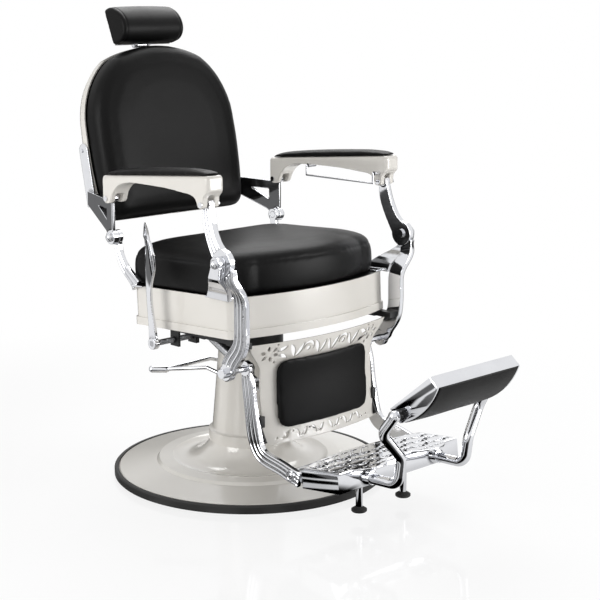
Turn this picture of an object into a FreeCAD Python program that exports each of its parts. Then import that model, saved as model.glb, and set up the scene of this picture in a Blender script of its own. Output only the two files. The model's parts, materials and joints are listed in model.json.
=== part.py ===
import FreeCAD, Part
import math
import os
from FreeCAD import Vector

# Reclining barber chair on a hydraulic column. Millimetres, +Z up, origin on the floor
# at the centre of the round base. The chair faces -Y, the sitter's right hand is at -X.

# Fits and cuts
overrun = 2.0
running_gap = 0.05
soft_gap = 0.3
part_gap = 0.5

# Round base
ring_radius = 340.0
ring_height = 20.0
ring_band = 22.0
ring_wall = 10.0
ring_edge = 3.0
ring_ledge = 4.0
disc_thick = 8.0
dish_lip = 4.0
dish_step_radius = 228.0
dish_step_low = 33.0
dish_step_high = 40.0
dish_step_slope = 6.0
flare_radius = 195.0
flare_height = 43.0
collar_radius = 101.0
collar_base = 84.0
flare_mid_radius = 126.0
flare_mid_height = 52.0

# Column cover, pump cylinder and ram
collar_height = 28.0
collar_lip = 2.0
column_foot_radius = 94.0
column_top_radius = 76.5
column_top = 322.0
column_wall = 4.0
cylinder_radius = 45.0
cylinder_bore = 31.0
cylinder_floor = 8.0
cylinder_top = 312.0
flange_radius = 72.0
flange_thick = 12.0
ram_radius = 25.0
ram_head_height = 20.0
ram_head_start = 42.0
ram_exposed = 26.0
ram_shoulder = cylinder_top + ram_exposed
spigot_radius = 18.0
washer_thick = 4.0
washer_radius = 34.0
bush_sleeve = 27.0

# Pump lever, a forked rod that straddles the column
pump_azimuth_deg = 134.0
pump_shaft_reach = 66.0
pump_shaft_height = 262.0
pump_shaft_radius = 6.0
pump_shaft_half = 70.0
pump_boss_radius = 9.0
pump_boss_length = 9.0
pump_rod_radius = 5.0
pump_bend_reach = 102.0
pump_bend_half = 46.0
pump_bend_height = 273.0
pump_tip_reach = 243.0
pump_tip_height = 256.0
pump_pedal_length = 34.0
pump_pedal_half = 9.0
pump_block_depth = 74.0
pump_block_half = 14.0
pump_block_low = 200.0
pump_block_high = 276.0
cover_hole_radius = 9.0

# Seat mount on the ram
hub_radius = 34.0
hub_base = ram_shoulder + washer_thick
hub_height = 46.0
hub_top = hub_base + hub_height
web_thick = 10.0
shroud_radius = 84.0
shroud_wall = 4.0
shroud_gap = 6.0
shroud_low = column_top + shroud_gap
shroud_waist = 372.0
mount_flange_radius = 120.0
mount_flange_low = 386.0
mount_flange_top = 392.0
mount_inner_radius = 100.0
mount_pocket_radius = 76.0
mount_pocket_top = 378.0

# Seat: everything above the frame leans back a little about the front edge
seat_tilt_deg = 3.0
seat_pivot_y = -240.0
seat_half_width = 250.0
seat_rear_y = 135.0
seat_corner_y = -226.0
seat_front_y = -270.0
seat_front_corner = 24.0
seat_rear_corner = 20.0
skirt_bottom = 412.0
skirt_top = 506.0
skirt_wall = 4.0
skirt_ledge = 3.0
skirt_ledge_height = 19.0
board_thick = 10.0
cushion_height = 108.0
cushion_half_width = 250.0
cushion_rear_y = 162.0
cushion_corner_y = -226.0
cushion_front_y = -264.0
cushion_front_corner = 76.0
cushion_rear_corner = 60.0

# Seat frame
rail_height = 20.0
rail_thick = 10.0
side_plate_x = 234.0
side_plate_thick = 6.0
side_plate_front = -210.0
side_plate_rear = 112.0
inner_rail_x = 180.0
front_cross_y = -180.0
mount_cross_y = 90.0
mount_cross_width = 20.0
cross_width = 14.0
outrigger_front = -262.0
outrigger_low = 394.0
outrigger_high = 408.0

# Pivots of the folding linkage, at rest
front_knuckle_x = 292.0
front_knuckle_y = -242.0
front_knuckle_z = 596.0
rear_knuckle_x = 272.0
rear_knuckle_y = 186.0
rear_knuckle_z = 600.0
arm_rear_x = 271.0
arm_rear_y = 179.0
arm_lug_rise = 96.0
arm_rear_z = rear_knuckle_z + arm_lug_rise
arm_front_x = 285.0
arm_front_y = -186.0
arm_pin_rise = 24.0
arm_front_z = arm_rear_z + arm_pin_rise
knee_y = -208.0
knee_z = 334.0

# Front legs, front links and their brackets
leg_x = 254.0
leg_top_y = -258.0
leg_top_z = 570.0
leg_width = 40.0
leg_thick = 15.0
knee_eye_radius = 20.0
flute_count = 3
flute_depth_share = 0.16
flute_half_share = 0.30
edge_chamfer_share = 0.16
knuckle_lobe_radius = 30.0
knuckle_lobe_gap = 1.0
knuckle_pin_radius = 7.0
link_width = 34.0
link_thick = 15.0
link_eye_radius = 12.0
bracket_thick = 12.0
bracket_cheek = 18.0
bracket_foot_rear = -150.0
bracket_foot_front = -226.0
bracket_foot_thick = 4.0
bracket_foot_inset = 28.0
bracket_top_width = 30.0
bracket_top_drop = 8.0
knuckle_boss_radius = 16.0
knuckle_ball_radius = 11.0
knuckle_head_radius = 11.0
knuckle_head_thick = 5.0
knee_pin_radius = 7.0
knee_barrel_radius = 11.0
knee_barrel_length = 13.0

# Rear supports
rear_support_width = 24.0
rear_support_thick = 12.0
rear_support_foot_y = 112.0
rear_support_foot_x = 262.0
rear_foot_length = 60.0
rear_pin_radius = 8.0
rear_boss_radius = 17.0
rear_boss_thick = 16.0
rear_eye_thick = 11.0

# Armrests
arm_splay_deg = 2.2
arm_width = 48.0
arm_rear_end = 190.0
arm_front_end = -212.0
arm_rear_cover = 55.0
arm_rear_top = arm_rear_z + arm_rear_cover
arm_front_cover = 66.0
arm_front_top = arm_front_z + arm_front_cover
arm_depth = 67.0
arm_pin_radius = 5.0
arm_front_pin_radius = 4.0
arm_open_clearance = 2.3
fork_lobe_radius = 12.0
front_lobe_radius = 9.0
arm_corner = 9.0
rear_fork_gap = 23.0
front_fork_gap = 18.0
pin_head_radius = 6.5
pin_head_thick = 2.5
arm_pad_width = 42.0
arm_pad_crown = 15.0
arm_pad_margin = 5.0

# Towel rail under the sitter's left armrest
towel_rail_radius = 2.2
towel_rail_x = 240.0
towel_rail_rear = 44.0
towel_rail_front = -188.0
towel_rail_drop = 8.0
towel_rail_top = arm_rear_top - towel_rail_drop
towel_rail_hang = 24.0
towel_rail_low = towel_rail_top - towel_rail_hang
towel_foot_radius = 5.0
towel_foot_length = 6.0

# Backrest, drawn upright and then leaned back
back_tilt_deg = 11.9
back_foot_y = 279.0
back_foot_z = 622.0
back_half_width = 223.0
back_height = 428.0
back_pad_rear = 24.0
back_pad_front = 44.0
shell_depth = 58.0
shell_wall = 3.0
shell_margin = 1.0
shell_foot_rise = 16.0
back_board_thick = 9.0
strap_front = 24.0
strap_width = 34.0
strap_screw_share = 0.68
strap_thick = 5.0
strap_low = 42.0
strap_high = 182.0
strap_screw_radius = 5.0
strap_screw_height = 2.5
fork_plate_thick = 9.0
fork_plate_x = 231.0
fork_plate_rear_y = 334.0
post_socket_half = 22.0
post_socket_low = 300.0
post_socket_high = 400.0

# Headrest
head_post_half = 15.0
head_post_thick = 6.0
head_post_y = 42.0
head_post_low = 280.0
head_hinge_z = 439.0
head_hinge_radius = 7.0
head_hinge_half = 24.0
head_tilt_deg = 22.8
head_half_length = 98.0
head_height = 98.0
head_depth = 65.0
head_plate_thick = 3.0
head_plate_margin = 10.0

# Leg rest
side_arm_x = 196.5
side_arm_thick = 13.0
side_arm_width = 36.0
side_arm_end_y = -359.0
side_arm_end_z = 114.0
side_arm_eye_radius = 18.0
side_arm_boss_radius = 12.0
side_arm_boss_height = 2.0
side_arm_screw_radius = 6.0
strut_bar_x = 187.0
strut_bar_thick = 5.0
strut_bar_width = 20.0
crossbar_y = -212.0
crossbar_z = 290.0
crossbar_radius = 8.0
calf_top_half = 221.0
calf_mid_half = 183.5
calf_low_half = 182.5
calf_thick = 4.0
calf_bow = 32.0
calf_top_z = 397.0
calf_low_z = 160.0
calf_top_y = -246.0
calf_pad_half = 137.0
calf_pad_low = 190.0
calf_pad_high = 360.0
calf_pad_thick = 13.0
calf_pad_corner = 26.0
calf_pad_fall_share = 0.45
strut_bar_foot_share = 0.9
calf_scroll_radius = 9.0
calf_scroll_width = 4.4
calf_scroll_pitch = 29.0
calf_upper_band_z = 379.0
calf_upper_columns = 6
calf_lower_band_z = 174.5
calf_lower_columns = 7
calf_lower_scale = 0.80
clamp_height = 26.0
clamp_low_share = 0.30

# Foot platform
platform_slope_deg = 6.5
platform_half = 200.0
platform_rear = -392.0
platform_front = -507.0
platform_top = 134.0
platform_height = 41.0
platform_wall = 30.0
platform_tail = -342.0
tread_thick = 5.0
tread_rear = -362.0
tread_lobe = 32.0
tread_lobe_x = 95.0
tread_lobe_out_share = 1.62
tread_lobe_in_share = 0.42
tread_rows = 3
tread_columns = 5
tread_rear_cut = 1
tread_margin = 9.0
tread_pitch_x = 37.0
tread_pitch_y = 37.0
tread_scroll_radius = 12.5
tread_scroll_width = 5.5
socket_x = 112.0
socket_radius = 16.0
socket_length = 20.0
foot_x = 74.0
foot_y = -451.0
foot_cup_low = 22.0
foot_cup_radius = 18.0
foot_cup_height = 13.0
foot_stem_radius = 8.0
foot_nut_radius = 12.0
foot_nut_height = 7.0

# Flip-over leg pad and its tubular arms
flip_tube_radius = 12.0
flip_bend_radius = 27.0
flip_bend_y = -604.0
flip_bend_z = 131.0
flip_rise_y = -612.0
flip_rise_z = 194.0
flip_hip_x = 162.0
flip_hip_y = -600.0
flip_hip_z = 257.0
flip_pivot_y = -628.0
flip_pivot_z = 299.0
flip_half = 137.0
flip_corner = 9.0
flip_wall = 4.0
flip_pin_radius = 5.0
flip_knob_radius = 11.0
flip_knob_ribs = 6
flip_knob_body_share = 0.9
flip_knob_rib_reach_share = 0.85
flip_knob_rib_share = 0.32
flip_boss_radius = 13.0
flip_arm_x = 154.0
flip_length = 140.0

# Recline lever and locking strut
lever_axle_y = 5.0
lever_axle_z = 372.0
lever_axle_half = 5.5
lever_boss_share = 2.5
lever_x = 296.0
lever_thick = 7.0
lever_height = 284.0
lever_hole_radius = 8.0
lever_axle_end = 148.0
cam_length = 15.0
cam_width = 9.0
hanger_low = 356.0
hanger_half = 15.0
strut_x = 156.0
strut_anchor_y = -30.0
strut_anchor_z = 380.0
strut_pin_radius = 5.0
strut_eye_radius = 10.0
strut_eye_half = 6.0
strut_cylinder_radius = 13.0
strut_cylinder_start = 16.0
strut_cylinder_length = 112.0
strut_rod_start_share = 0.45
strut_rod_radius = 5.0
strut_grip_gap = 2.0
strut_grip_radius = 15.0

os.makedirs("parts", exist_ok=True)
x_axis = Vector(1, 0, 0)
y_axis = Vector(0, 1, 0)
z_axis = Vector(0, 0, 1)
origin = Vector(0, 0, 0)


# Small helpers
def save(name, shape):
    """Write one node; a list of solids becomes one group."""
    if isinstance(shape, list):
        shape = Part.makeCompound(shape)
    shape.exportStep("parts/" + name + ".step")
    print(name, len(shape.Solids), "solids", shape.isValid())


def mirrored(shape):
    return shape.mirror(origin, x_axis)


def save_pair(name, shape):
    """Write the sitter's right-hand piece, which is drawn at -X, and its mirror image."""
    save(name + "_right", shape)
    save(name + "_left", mirrored(shape))


def block(x0, x1, y0, y1, z0, z1):
    return Part.makeBox(x1 - x0, y1 - y0, z1 - z0, Vector(x0, y0, z0))


def rod(start, end, radius):
    return Part.makeCylinder(radius, end.sub(start).Length, start, end.sub(start))


def x_rod(x0, x1, y, z, radius):
    return rod(Vector(x0, y, z), Vector(x1, y, z), radius)


def ball(centre, radius):
    return Part.makeSphere(radius, centre)


def fused(pieces):
    """Join the pieces of one casting and drop the seams between flush faces."""
    whole = pieces[0].multiFuse(pieces[1:]) if len(pieces) > 1 else pieces[0]
    return whole.removeSplitter()


def turned(points):
    """Turn a closed outline of (radius, height) points round the upright axis."""
    corners = [Vector(radius, 0, height) for radius, height in points]
    face = Part.Face(Part.makePolygon(corners + corners[:1]))
    return face.revolve(origin, z_axis, 360)


def line(a, b):
    return Part.LineSegment(a, b).toShape()


def arc(a, middle, b):
    return Part.Arc(a, middle, b).toShape()


def curve(points):
    spline = Part.BSplineCurve()
    spline.interpolate(points)
    return spline.toShape()


def seat_tilted(shape):
    """Lean a piece that was drawn level back about the seat's front edge."""
    tilted = shape.copy()
    tilted.rotate(Vector(0, seat_pivot_y, skirt_bottom), x_axis, -seat_tilt_deg)
    return tilted


def back_tilted(shape):
    """Lean a piece that was drawn upright back and stand it at the backrest's foot."""
    tilted = shape.copy()
    tilted.rotate(origin, x_axis, -back_tilt_deg)
    tilted.translate(Vector(0, back_foot_y, back_foot_z))
    return tilted


def fluted_section(centre, tangent, width, thick, flutes):
    """One cross-section of a cast bar: flat inside, chamfered and fluted on its outer face."""
    tangent = Vector(tangent).normalize()
    across = x_axis.sub(Vector(tangent).multiply(x_axis.dot(tangent))).normalize()
    along = tangent.cross(across).normalize()
    half = width / 2
    outer = -thick / 2
    chamfer = thick * edge_chamfer_share
    points = [(-half, outer + chamfer), (-half + chamfer, outer)]
    pitch = (width - 2 * chamfer) / max(flutes, 1)
    for index in range(flutes):
        middle = -half + chamfer + pitch * (index + 0.5)
        reach = pitch * flute_half_share
        points += [(middle - reach, outer), (middle, outer + thick * flute_depth_share),
                   (middle + reach, outer)]
    points += [(half - chamfer, outer), (half, outer + chamfer), (half, thick / 2), (-half, thick / 2)]
    corners = [centre.add(Vector(along).multiply(a)).add(Vector(across).multiply(b)) for a, b in points]
    return Part.makePolygon(corners + corners[:1])


def fluted_bar(start, end, shares, width, thick, flutes=flute_count):
    """A casting that follows stations given as shares of the way from start to end.

    Each row holds the share of the way in x, y and z, then the shares of width and thickness.
    """
    span = end.sub(start)
    centres = [Vector(start.x + span.x * row[0], start.y + span.y * row[1], start.z + span.z * row[2])
               for row in shares]
    sections = []
    for index, row in enumerate(shares):
        before = centres[max(index - 1, 0)]
        after = centres[min(index + 1, len(centres) - 1)]
        sections.append(fluted_section(centres[index], after.sub(before), width * row[3],
                                       thick * row[4], flutes))
    return Part.makeLoft(sections, True, False)


# Round base
def base_ring():
    inner = ring_radius - ring_wall
    return turned([(ring_radius - ring_band, 0), (ring_radius - ring_edge, 0), (ring_radius, ring_edge),
                   (ring_radius, ring_height - ring_edge), (ring_radius - ring_edge, ring_height),
                   (inner, ring_height), (inner, ring_ledge), (ring_radius - ring_band, ring_ledge)])


def base_plate():
    """Cast dish with a flared foot; the pump cylinder stands in the hollow in its middle."""
    rim = ring_radius - ring_wall - soft_gap
    lip = rim - dish_lip
    floor = ring_ledge + disc_thick
    points = [Vector(0, 0, ring_ledge), Vector(rim, 0, ring_ledge), Vector(rim, 0, ring_height - ring_edge),
              Vector(lip, 0, ring_height), Vector(dish_step_radius + dish_step_slope, 0, dish_step_low),
              Vector(dish_step_radius, 0, dish_step_high), Vector(flare_radius, 0, flare_height)]
    edges = [line(a, b) for a, b in zip(points, points[1:])]
    neck = Vector(collar_radius, 0, collar_base)
    bore = flange_radius + part_gap
    hollow = [neck, Vector(bore, 0, collar_base), Vector(bore, 0, floor), Vector(0, 0, floor), points[0]]
    mid = Vector(flare_mid_radius, 0, flare_mid_height)
    edges += [arc(points[-1], mid, neck)] + [line(a, b) for a, b in zip(hollow, hollow[1:])]
    return Part.Face(Part.Wire(edges)).revolve(origin, z_axis, 360)


def pump_placed(shape):
    """Swing a piece drawn with the pump lever along +X round to the lever's side of the column."""
    placed = shape.copy()
    placed.rotate(origin, z_axis, pump_azimuth_deg)
    return placed


def column_cover():
    shoulder = collar_base + collar_height
    lip = collar_radius + collar_lip
    outer = turned([(0, collar_base), (lip, collar_base), (lip, shoulder - collar_lip),
                    (column_foot_radius + collar_lip, shoulder), (column_foot_radius, shoulder + collar_lip),
                    (column_top_radius, column_top - collar_lip), (column_top_radius - collar_lip, column_top),
                    (0, column_top)])
    inner = turned([(0, collar_base), (column_foot_radius - column_wall, collar_base),
                    (column_foot_radius - column_wall, shoulder),
                    (column_top_radius - column_wall, column_top - column_wall),
                    (0, column_top - column_wall)])
    shell = outer.cut(inner)
    shell = shell.cut(Part.makeCylinder(ram_radius + overrun, column_top))
    reach = pump_shaft_half + pump_boss_length
    bore = rod(Vector(pump_shaft_reach, -reach, pump_shaft_height),
               Vector(pump_shaft_reach, reach, pump_shaft_height), cover_hole_radius)
    return shell.cut(pump_placed(bore))


def pump_cylinder():
    low = ring_ledge + disc_thick
    body = turned([(0, low), (flange_radius, low), (flange_radius, low + flange_thick),
                   (cylinder_radius, low + flange_thick), (cylinder_radius, cylinder_top),
                   (cylinder_bore, cylinder_top), (cylinder_bore, low + cylinder_floor),
                   (0, low + cylinder_floor)])
    reach = pump_block_depth
    arm = block(0, reach, -pump_block_half, pump_block_half, pump_block_low, pump_block_high)
    arm = arm.cut(Part.makeCylinder(cylinder_radius - overrun, column_top))
    bore = rod(Vector(pump_shaft_reach, -reach, pump_shaft_height),
               Vector(pump_shaft_reach, reach, pump_shaft_height), pump_shaft_radius + running_gap)
    return fused([body, pump_placed(arm.cut(bore))])


def ram_guide_bush():
    top = column_top - column_wall
    bore = ram_radius + running_gap
    sleeve = cylinder_bore - running_gap
    return turned([(bore, cylinder_top - bush_sleeve), (sleeve, cylinder_top - bush_sleeve),
                   (sleeve, cylinder_top), (cylinder_radius, cylinder_top), (cylinder_radius, top),
                   (bore, top)])


def ram():
    head_top = ram_head_start + ram_head_height
    spigot_top = hub_top
    return turned([(0, ram_head_start), (cylinder_bore - running_gap, ram_head_start),
                   (cylinder_bore - running_gap, head_top), (ram_radius, head_top), (ram_radius, ram_shoulder),
                   (spigot_radius, ram_shoulder), (spigot_radius, spigot_top), (0, spigot_top)])


def swivel_washer():
    return turned([(spigot_radius, ram_shoulder), (washer_radius, ram_shoulder),
                   (washer_radius, ram_shoulder + washer_thick), (spigot_radius, ram_shoulder + washer_thick)])


# Pump lever, drawn along +X
def pump_shaft():
    half = pump_shaft_half
    return pump_placed(rod(Vector(pump_shaft_reach, -half, pump_shaft_height),
                           Vector(pump_shaft_reach, half, pump_shaft_height), pump_shaft_radius))


def pump_lever():
    tip = Vector(pump_tip_reach, 0, pump_tip_height)
    heel = Vector(pump_tip_reach - pump_pedal_length, 0, pump_tip_height)
    pieces = [rod(heel, tip, pump_pedal_half), ball(tip, pump_pedal_half), ball(heel, pump_pedal_half)]
    half = pump_shaft_half
    for side in (-1, 1):
        pivot = Vector(pump_shaft_reach, side * half, pump_shaft_height)
        inner = Vector(pump_shaft_reach, side * (half - pump_boss_length), pump_shaft_height)
        bend = Vector(pump_bend_reach, side * pump_bend_half, pump_bend_height)
        hip = Vector(pump_shaft_reach, side * (half - pump_boss_length / 2), pump_shaft_height)
        pieces += [rod(inner, pivot, pump_boss_radius), rod(hip, bend, pump_rod_radius),
                   ball(bend, pump_rod_radius), rod(bend, heel, pump_rod_radius)]
    lever = fused(pieces)
    bore = rod(Vector(pump_shaft_reach, -half, pump_shaft_height),
               Vector(pump_shaft_reach, half, pump_shaft_height), pump_shaft_radius)
    return pump_placed(lever.cut(bore))


# Seat mount and frame
def seat_mount():
    bore = spigot_radius + running_gap
    return turned([(bore, hub_base), (shroud_radius - shroud_wall, hub_base),
                   (shroud_radius - shroud_wall, shroud_low), (shroud_radius, shroud_low),
                   (shroud_radius, shroud_waist), (mount_flange_radius, mount_flange_low),
                   (mount_flange_radius, mount_flange_top), (mount_inner_radius, mount_flange_top),
                   (mount_pocket_radius, mount_pocket_top), (mount_pocket_radius, hub_base + web_thick),
                   (hub_radius, hub_base + web_thick), (hub_radius, hub_top), (bore, hub_top)])


def seat_outline(inset, height):
    """The D shape of the seat from above, drawn smaller by the inset: bowed front, round corners."""
    half = seat_half_width - inset
    rear = seat_rear_y - inset
    bow_half = half - seat_front_corner
    bow = (seat_corner_y - seat_front_y) * bow_half / (seat_half_width - seat_front_corner)
    corner = seat_corner_y + inset
    slant = math.sqrt(0.5)
    front = seat_front_corner * (1 - slant)
    back = seat_rear_corner * (1 - slant)

    def at(x, y):
        return Vector(x, y, height)

    left = [at(-half, rear - seat_rear_corner), at(-half, corner + seat_front_corner),
            at(-half + front, corner + front), at(-bow_half, corner)]
    right = [at(-point.x, point.y) for point in left]
    rear_left = at(-half + seat_rear_corner, rear)
    rear_right = at(half - seat_rear_corner, rear)
    edges = [line(left[0], left[1]), arc(left[1], left[2], left[3]),
             arc(left[3], at(0, corner - bow), right[3]), arc(right[3], right[2], right[1]),
             line(right[1], right[0]), arc(right[0], at(half - back, rear - back), rear_right),
             line(rear_right, rear_left), arc(rear_left, at(-half + back, rear - back), left[0])]
    return Part.Wire(edges)


def seat_slab(inset, low, high):
    return Part.Face(seat_outline(inset, low)).extrude(Vector(0, 0, high - low))


def seat_skirt():
    band = seat_slab(0, skirt_bottom, skirt_top)
    ledge = seat_slab(-skirt_ledge, skirt_bottom, skirt_bottom + skirt_ledge_height)
    hollow = seat_slab(skirt_wall, skirt_bottom - overrun, skirt_top + overrun)
    return seat_tilted(band.fuse(ledge).cut(hollow).removeSplitter())


def seat_board():
    return seat_tilted(seat_slab(skirt_wall + soft_gap, skirt_top - board_thick, skirt_top))


cushion_shares = [(0.0, 0.965), (0.06, 0.99), (0.20, 1.0), (0.45, 1.0), (0.62, 0.992), (0.73, 0.968),
                  (0.80, 0.935), (0.855, 0.885), (0.90, 0.80), (0.94, 0.68), (0.97, 0.52), (0.99, 0.32),
                  (1.0, 0.12)]


def seat_cushion():
    """Boxed cushion with soft edges and a crowned top, in level sections of one outline."""
    low = skirt_top + soft_gap
    middle = (seat_rear_y + seat_front_y) / 2
    wires = []
    for rise, size in cushion_shares:
        wire = cushion_outline(low + rise * cushion_height)
        wire.scale(size, Vector(0, middle, low + rise * cushion_height))
        wires.append(wire)
    pad = seat_tilted(Part.makeLoft(wires, True, True))
    for shape in foot_plates(soft_gap, bracket_foot_thick + soft_gap):
        pad = pad.cut(shape)
    return pad


def cushion_outline(height):
    """The cushion from above: straight sides, rounder corners than the skirt and a bowed front."""
    half = cushion_half_width
    rear = cushion_rear_y
    slant = 1 - math.sqrt(0.5)
    nose = cushion_front_corner
    tail = cushion_rear_corner
    corner = cushion_corner_y

    def at(x, y):
        return Vector(x, y, height)

    inner = half - nose
    points = [at(-half, rear - tail), at(-half, corner + nose),
              at(-half + slant * nose, corner + slant * nose), at(-inner, corner)]
    other = [at(-point.x, point.y) for point in points]
    back = half - tail
    edges = [line(points[0], points[1]), arc(points[1], points[2], points[3]),
             arc(points[3], at(0, cushion_front_y), other[3]), arc(other[3], other[2], other[1]),
             line(other[1], other[0]),
             arc(other[0], at(half - slant * tail, rear - slant * tail), at(back, rear)),
             line(at(back, rear), at(-back, rear)),
             arc(at(-back, rear), at(-half + slant * tail, rear - slant * tail), points[0])]
    return Part.Wire(edges)


def foot_plates(margin, thick):
    """The four bracket feet that lie between the seat board and the cushion."""
    outer = seat_half_width + skirt_wall
    inner = seat_half_width - bracket_foot_inset - margin
    low = skirt_top
    plates = []
    spans = [(bracket_foot_front - margin, bracket_foot_rear + margin),
             (rear_support_foot_y - rear_foot_length / 2 - margin,
              rear_support_foot_y + rear_foot_length / 2 - seat_rear_corner + margin)]
    for front, rear in spans:
        right = seat_tilted(block(-outer - bracket_thick, -inner, front, rear, low, low + thick))
        plates += [right, mirrored(right)]
    return plates


def seat_frame():
    low = mount_flange_top
    high = low + rail_height
    plate_in = side_plate_x - side_plate_thick
    rail_in = inner_rail_x - rail_thick
    pieces = []
    for y in (-mount_cross_y, mount_cross_y):
        pieces.append(block(-plate_in, plate_in, y - mount_cross_width / 2, y + mount_cross_width / 2,
                            low, high))
    pieces.append(block(-plate_in, plate_in, front_cross_y, front_cross_y + cross_width, low, high))
    pieces.append(block(-plate_in, plate_in, side_plate_rear - cross_width, side_plate_rear, low, high))
    for side in (-1, 1):
        inner = [side * rail_in, side * inner_rail_x]
        pieces.append(block(min(inner), max(inner), front_cross_y, side_plate_rear, low, high))
        plate = [side * plate_in, side * side_plate_x]
        tall = block(min(plate), max(plate), side_plate_front, side_plate_rear, low, skirt_top)
        pieces.append(tall.cut(board_space()))
        foot = [side * plate_in, side * (leg_x - leg_thick / 2)]
        pieces.append(block(min(foot), max(foot), outrigger_front, side_plate_front + cross_width,
                            outrigger_low, outrigger_high))
    for x_in, x_out in ((plate_in, side_plate_x), (rail_in, inner_rail_x)):
        pieces.append(block(-x_out, -x_in, lever_axle_y - hanger_half, lever_axle_y + hanger_half,
                            hanger_low, low))
    anchor_low = strut_anchor_z - strut_eye_radius
    pieces.append(block(-inner_rail_x, -rail_in, strut_anchor_y - strut_eye_radius,
                        strut_anchor_y + strut_eye_radius, anchor_low, low))
    pieces.append(x_rod(-rail_in - part_gap, -strut_x + strut_eye_half + 2 * part_gap,
                        strut_anchor_y, strut_anchor_z, strut_pin_radius))
    frame = fused(pieces)
    frame = frame.cut(x_rod(-side_plate_x - overrun, -rail_in + overrun, lever_axle_y, lever_axle_z,
                            lever_hole_radius))
    for leg in (front_leg(), mirrored(front_leg())):
        frame = frame.cut(leg)
    return frame


def board_space():
    """The space above the underside of the tilted seat board."""
    reach = 2 * seat_half_width
    space = block(-reach, reach, -reach, reach, skirt_top - board_thick, skirt_top + reach)
    return seat_tilted(space)


# Front legs: from the knuckle down the skirt's corner and back to the knee
leg_shares = [(0.0, -0.02, -0.05, 0.90, 1.05), (0.06, -0.06, 0.05, 0.88, 1.05),
              (0.30, -0.12, 0.115, 0.86, 1.05), (0.68, -0.09, 0.185, 0.90, 1.0), (0.94, -0.01, 0.27, 0.96, 1.0), (1.0, 0.02, 0.40, 1.0, 1.0),
              (1.0, 0.02, 0.60, 1.0, 1.0), (1.0, 0.10, 0.70, 1.02, 1.0), (1.0, 0.34, 0.79, 1.08, 1.0),
              (1.0, 0.66, 0.875, 1.14, 1.0), (1.0, 0.93, 0.96, 1.05, 1.0)]


def front_leg():
    start = Vector(-front_knuckle_x, leg_top_y, leg_top_z)
    end = Vector(-leg_x, knee_y, knee_z)
    bar = fluted_bar(start, end, leg_shares, leg_width, leg_thick)
    half = leg_thick / 2
    eye = x_rod(-leg_x - half, -leg_x + half, knee_y, knee_z, knee_eye_radius)
    leg = fused([bar, eye])
    seat = knuckle_lobe_radius + knuckle_lobe_gap
    reach = front_knuckle_x + leg_width
    leg = leg.cut(x_rod(-reach, 0, front_knuckle_y, front_knuckle_z, seat))
    return leg.cut(x_rod(-reach, 0, knee_y, knee_z, knee_pin_radius))


link_shares = [(0.0, 0.0, 0.0, 0.66, 1.0), (0.15, 0.02, 0.14, 0.86, 1.0), (0.40, 0.10, 0.34, 0.96, 1.0),
               (0.65, 0.28, 0.55, 0.98, 1.0), (0.85, 0.55, 0.76, 1.08, 1.0), (0.95, 0.80, 0.90, 1.3, 1.0),
               (1.0, 1.0, 1.04, 1.5, 1.0)]


def front_link():
    start = Vector(-arm_front_x, arm_front_y, arm_front_z)
    end = Vector(-front_knuckle_x, front_knuckle_y, front_knuckle_z)
    bar = fluted_bar(start, end, link_shares, link_width, link_thick)
    half = link_thick / 2
    lobe = x_rod(-front_knuckle_x - half, -front_knuckle_x + half, front_knuckle_y, front_knuckle_z,
                 knuckle_lobe_radius)
    top = x_rod(-arm_front_x - half, -arm_front_x + half, arm_front_y, arm_front_z, link_eye_radius)
    keep = x_rod(-front_knuckle_x - link_width, 0, front_knuckle_y, front_knuckle_z, knuckle_lobe_radius)
    below = block(-front_knuckle_x - link_width, 0, front_knuckle_y - 2 * link_width,
                  front_knuckle_y + 2 * link_width, front_knuckle_z - 2 * link_width, front_knuckle_z)
    bar = bar.cut(below.cut(keep))
    link = fused([bar, lobe, top])
    reach = front_knuckle_x + link_width
    link = link.cut(x_rod(-reach, 0, front_knuckle_y, front_knuckle_z, knuckle_pin_radius + running_gap))
    link = link.cut(x_rod(-front_knuckle_x + half, 0, front_knuckle_y, front_knuckle_z,
                          knuckle_head_radius + overrun))
    link = link.cut(x_rod(-reach, 0, arm_front_y, arm_front_z, arm_front_pin_radius + arm_open_clearance))
    return link


def rectangle(x0, x1, y0, y1, height):
    corners = [Vector(x0, y0, height), Vector(x1, y0, height), Vector(x1, y1, height), Vector(x0, y1, height)]
    return Part.makePolygon(corners + corners[:1])


bracket_shares = [(0.0, 0.0, 0.0), (0.20, 0.10, 0.15), (0.38, 0.38, 0.40), (0.58, 0.80, 0.72), (0.70, 1.0, 0.88),
                  (1.0, 1.0, 1.0)]


def front_bracket():
    outer = seat_half_width + skirt_wall
    cheek_in = -front_knuckle_x - link_thick / 2 - part_gap
    cheek_out = cheek_in - bracket_cheek
    low = skirt_top - bracket_foot_thick
    rise = front_knuckle_z - bracket_top_drop - low
    front = front_knuckle_y - bracket_top_width / 2
    rear = front_knuckle_y + bracket_top_width / 2
    sections = []
    for up, out, ahead in bracket_shares:
        inner_x = -outer + (cheek_in + outer) * out
        outer_x = -outer - bracket_thick + (cheek_out + outer + bracket_thick) * out
        rear_y = bracket_foot_rear + (rear - bracket_foot_rear) * ahead
        front_y = bracket_foot_front + (front - bracket_foot_front) * ahead
        sections.append(rectangle(outer_x, inner_x, front_y, rear_y, low + rise * up))
    body = Part.makeLoft(sections, True, True)
    boss = x_rod(cheek_out, cheek_in, front_knuckle_y, front_knuckle_z, knuckle_boss_radius)
    foot = foot_plates(0, bracket_foot_thick)[0]
    bracket = fused([body, boss, foot])
    bracket = bracket.cut(x_rod(cheek_out - overrun, cheek_in + overrun, front_knuckle_y, front_knuckle_z,
                                knuckle_pin_radius))
    bracket = bracket.cut(front_leg())
    ledge = seat_slab(-skirt_ledge, skirt_bottom, skirt_bottom + skirt_ledge_height)
    bracket = bracket.cut(seat_tilted(ledge))
    return bracket.cut(seat_tilted(seat_slab(0, skirt_bottom, skirt_top)))


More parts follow.
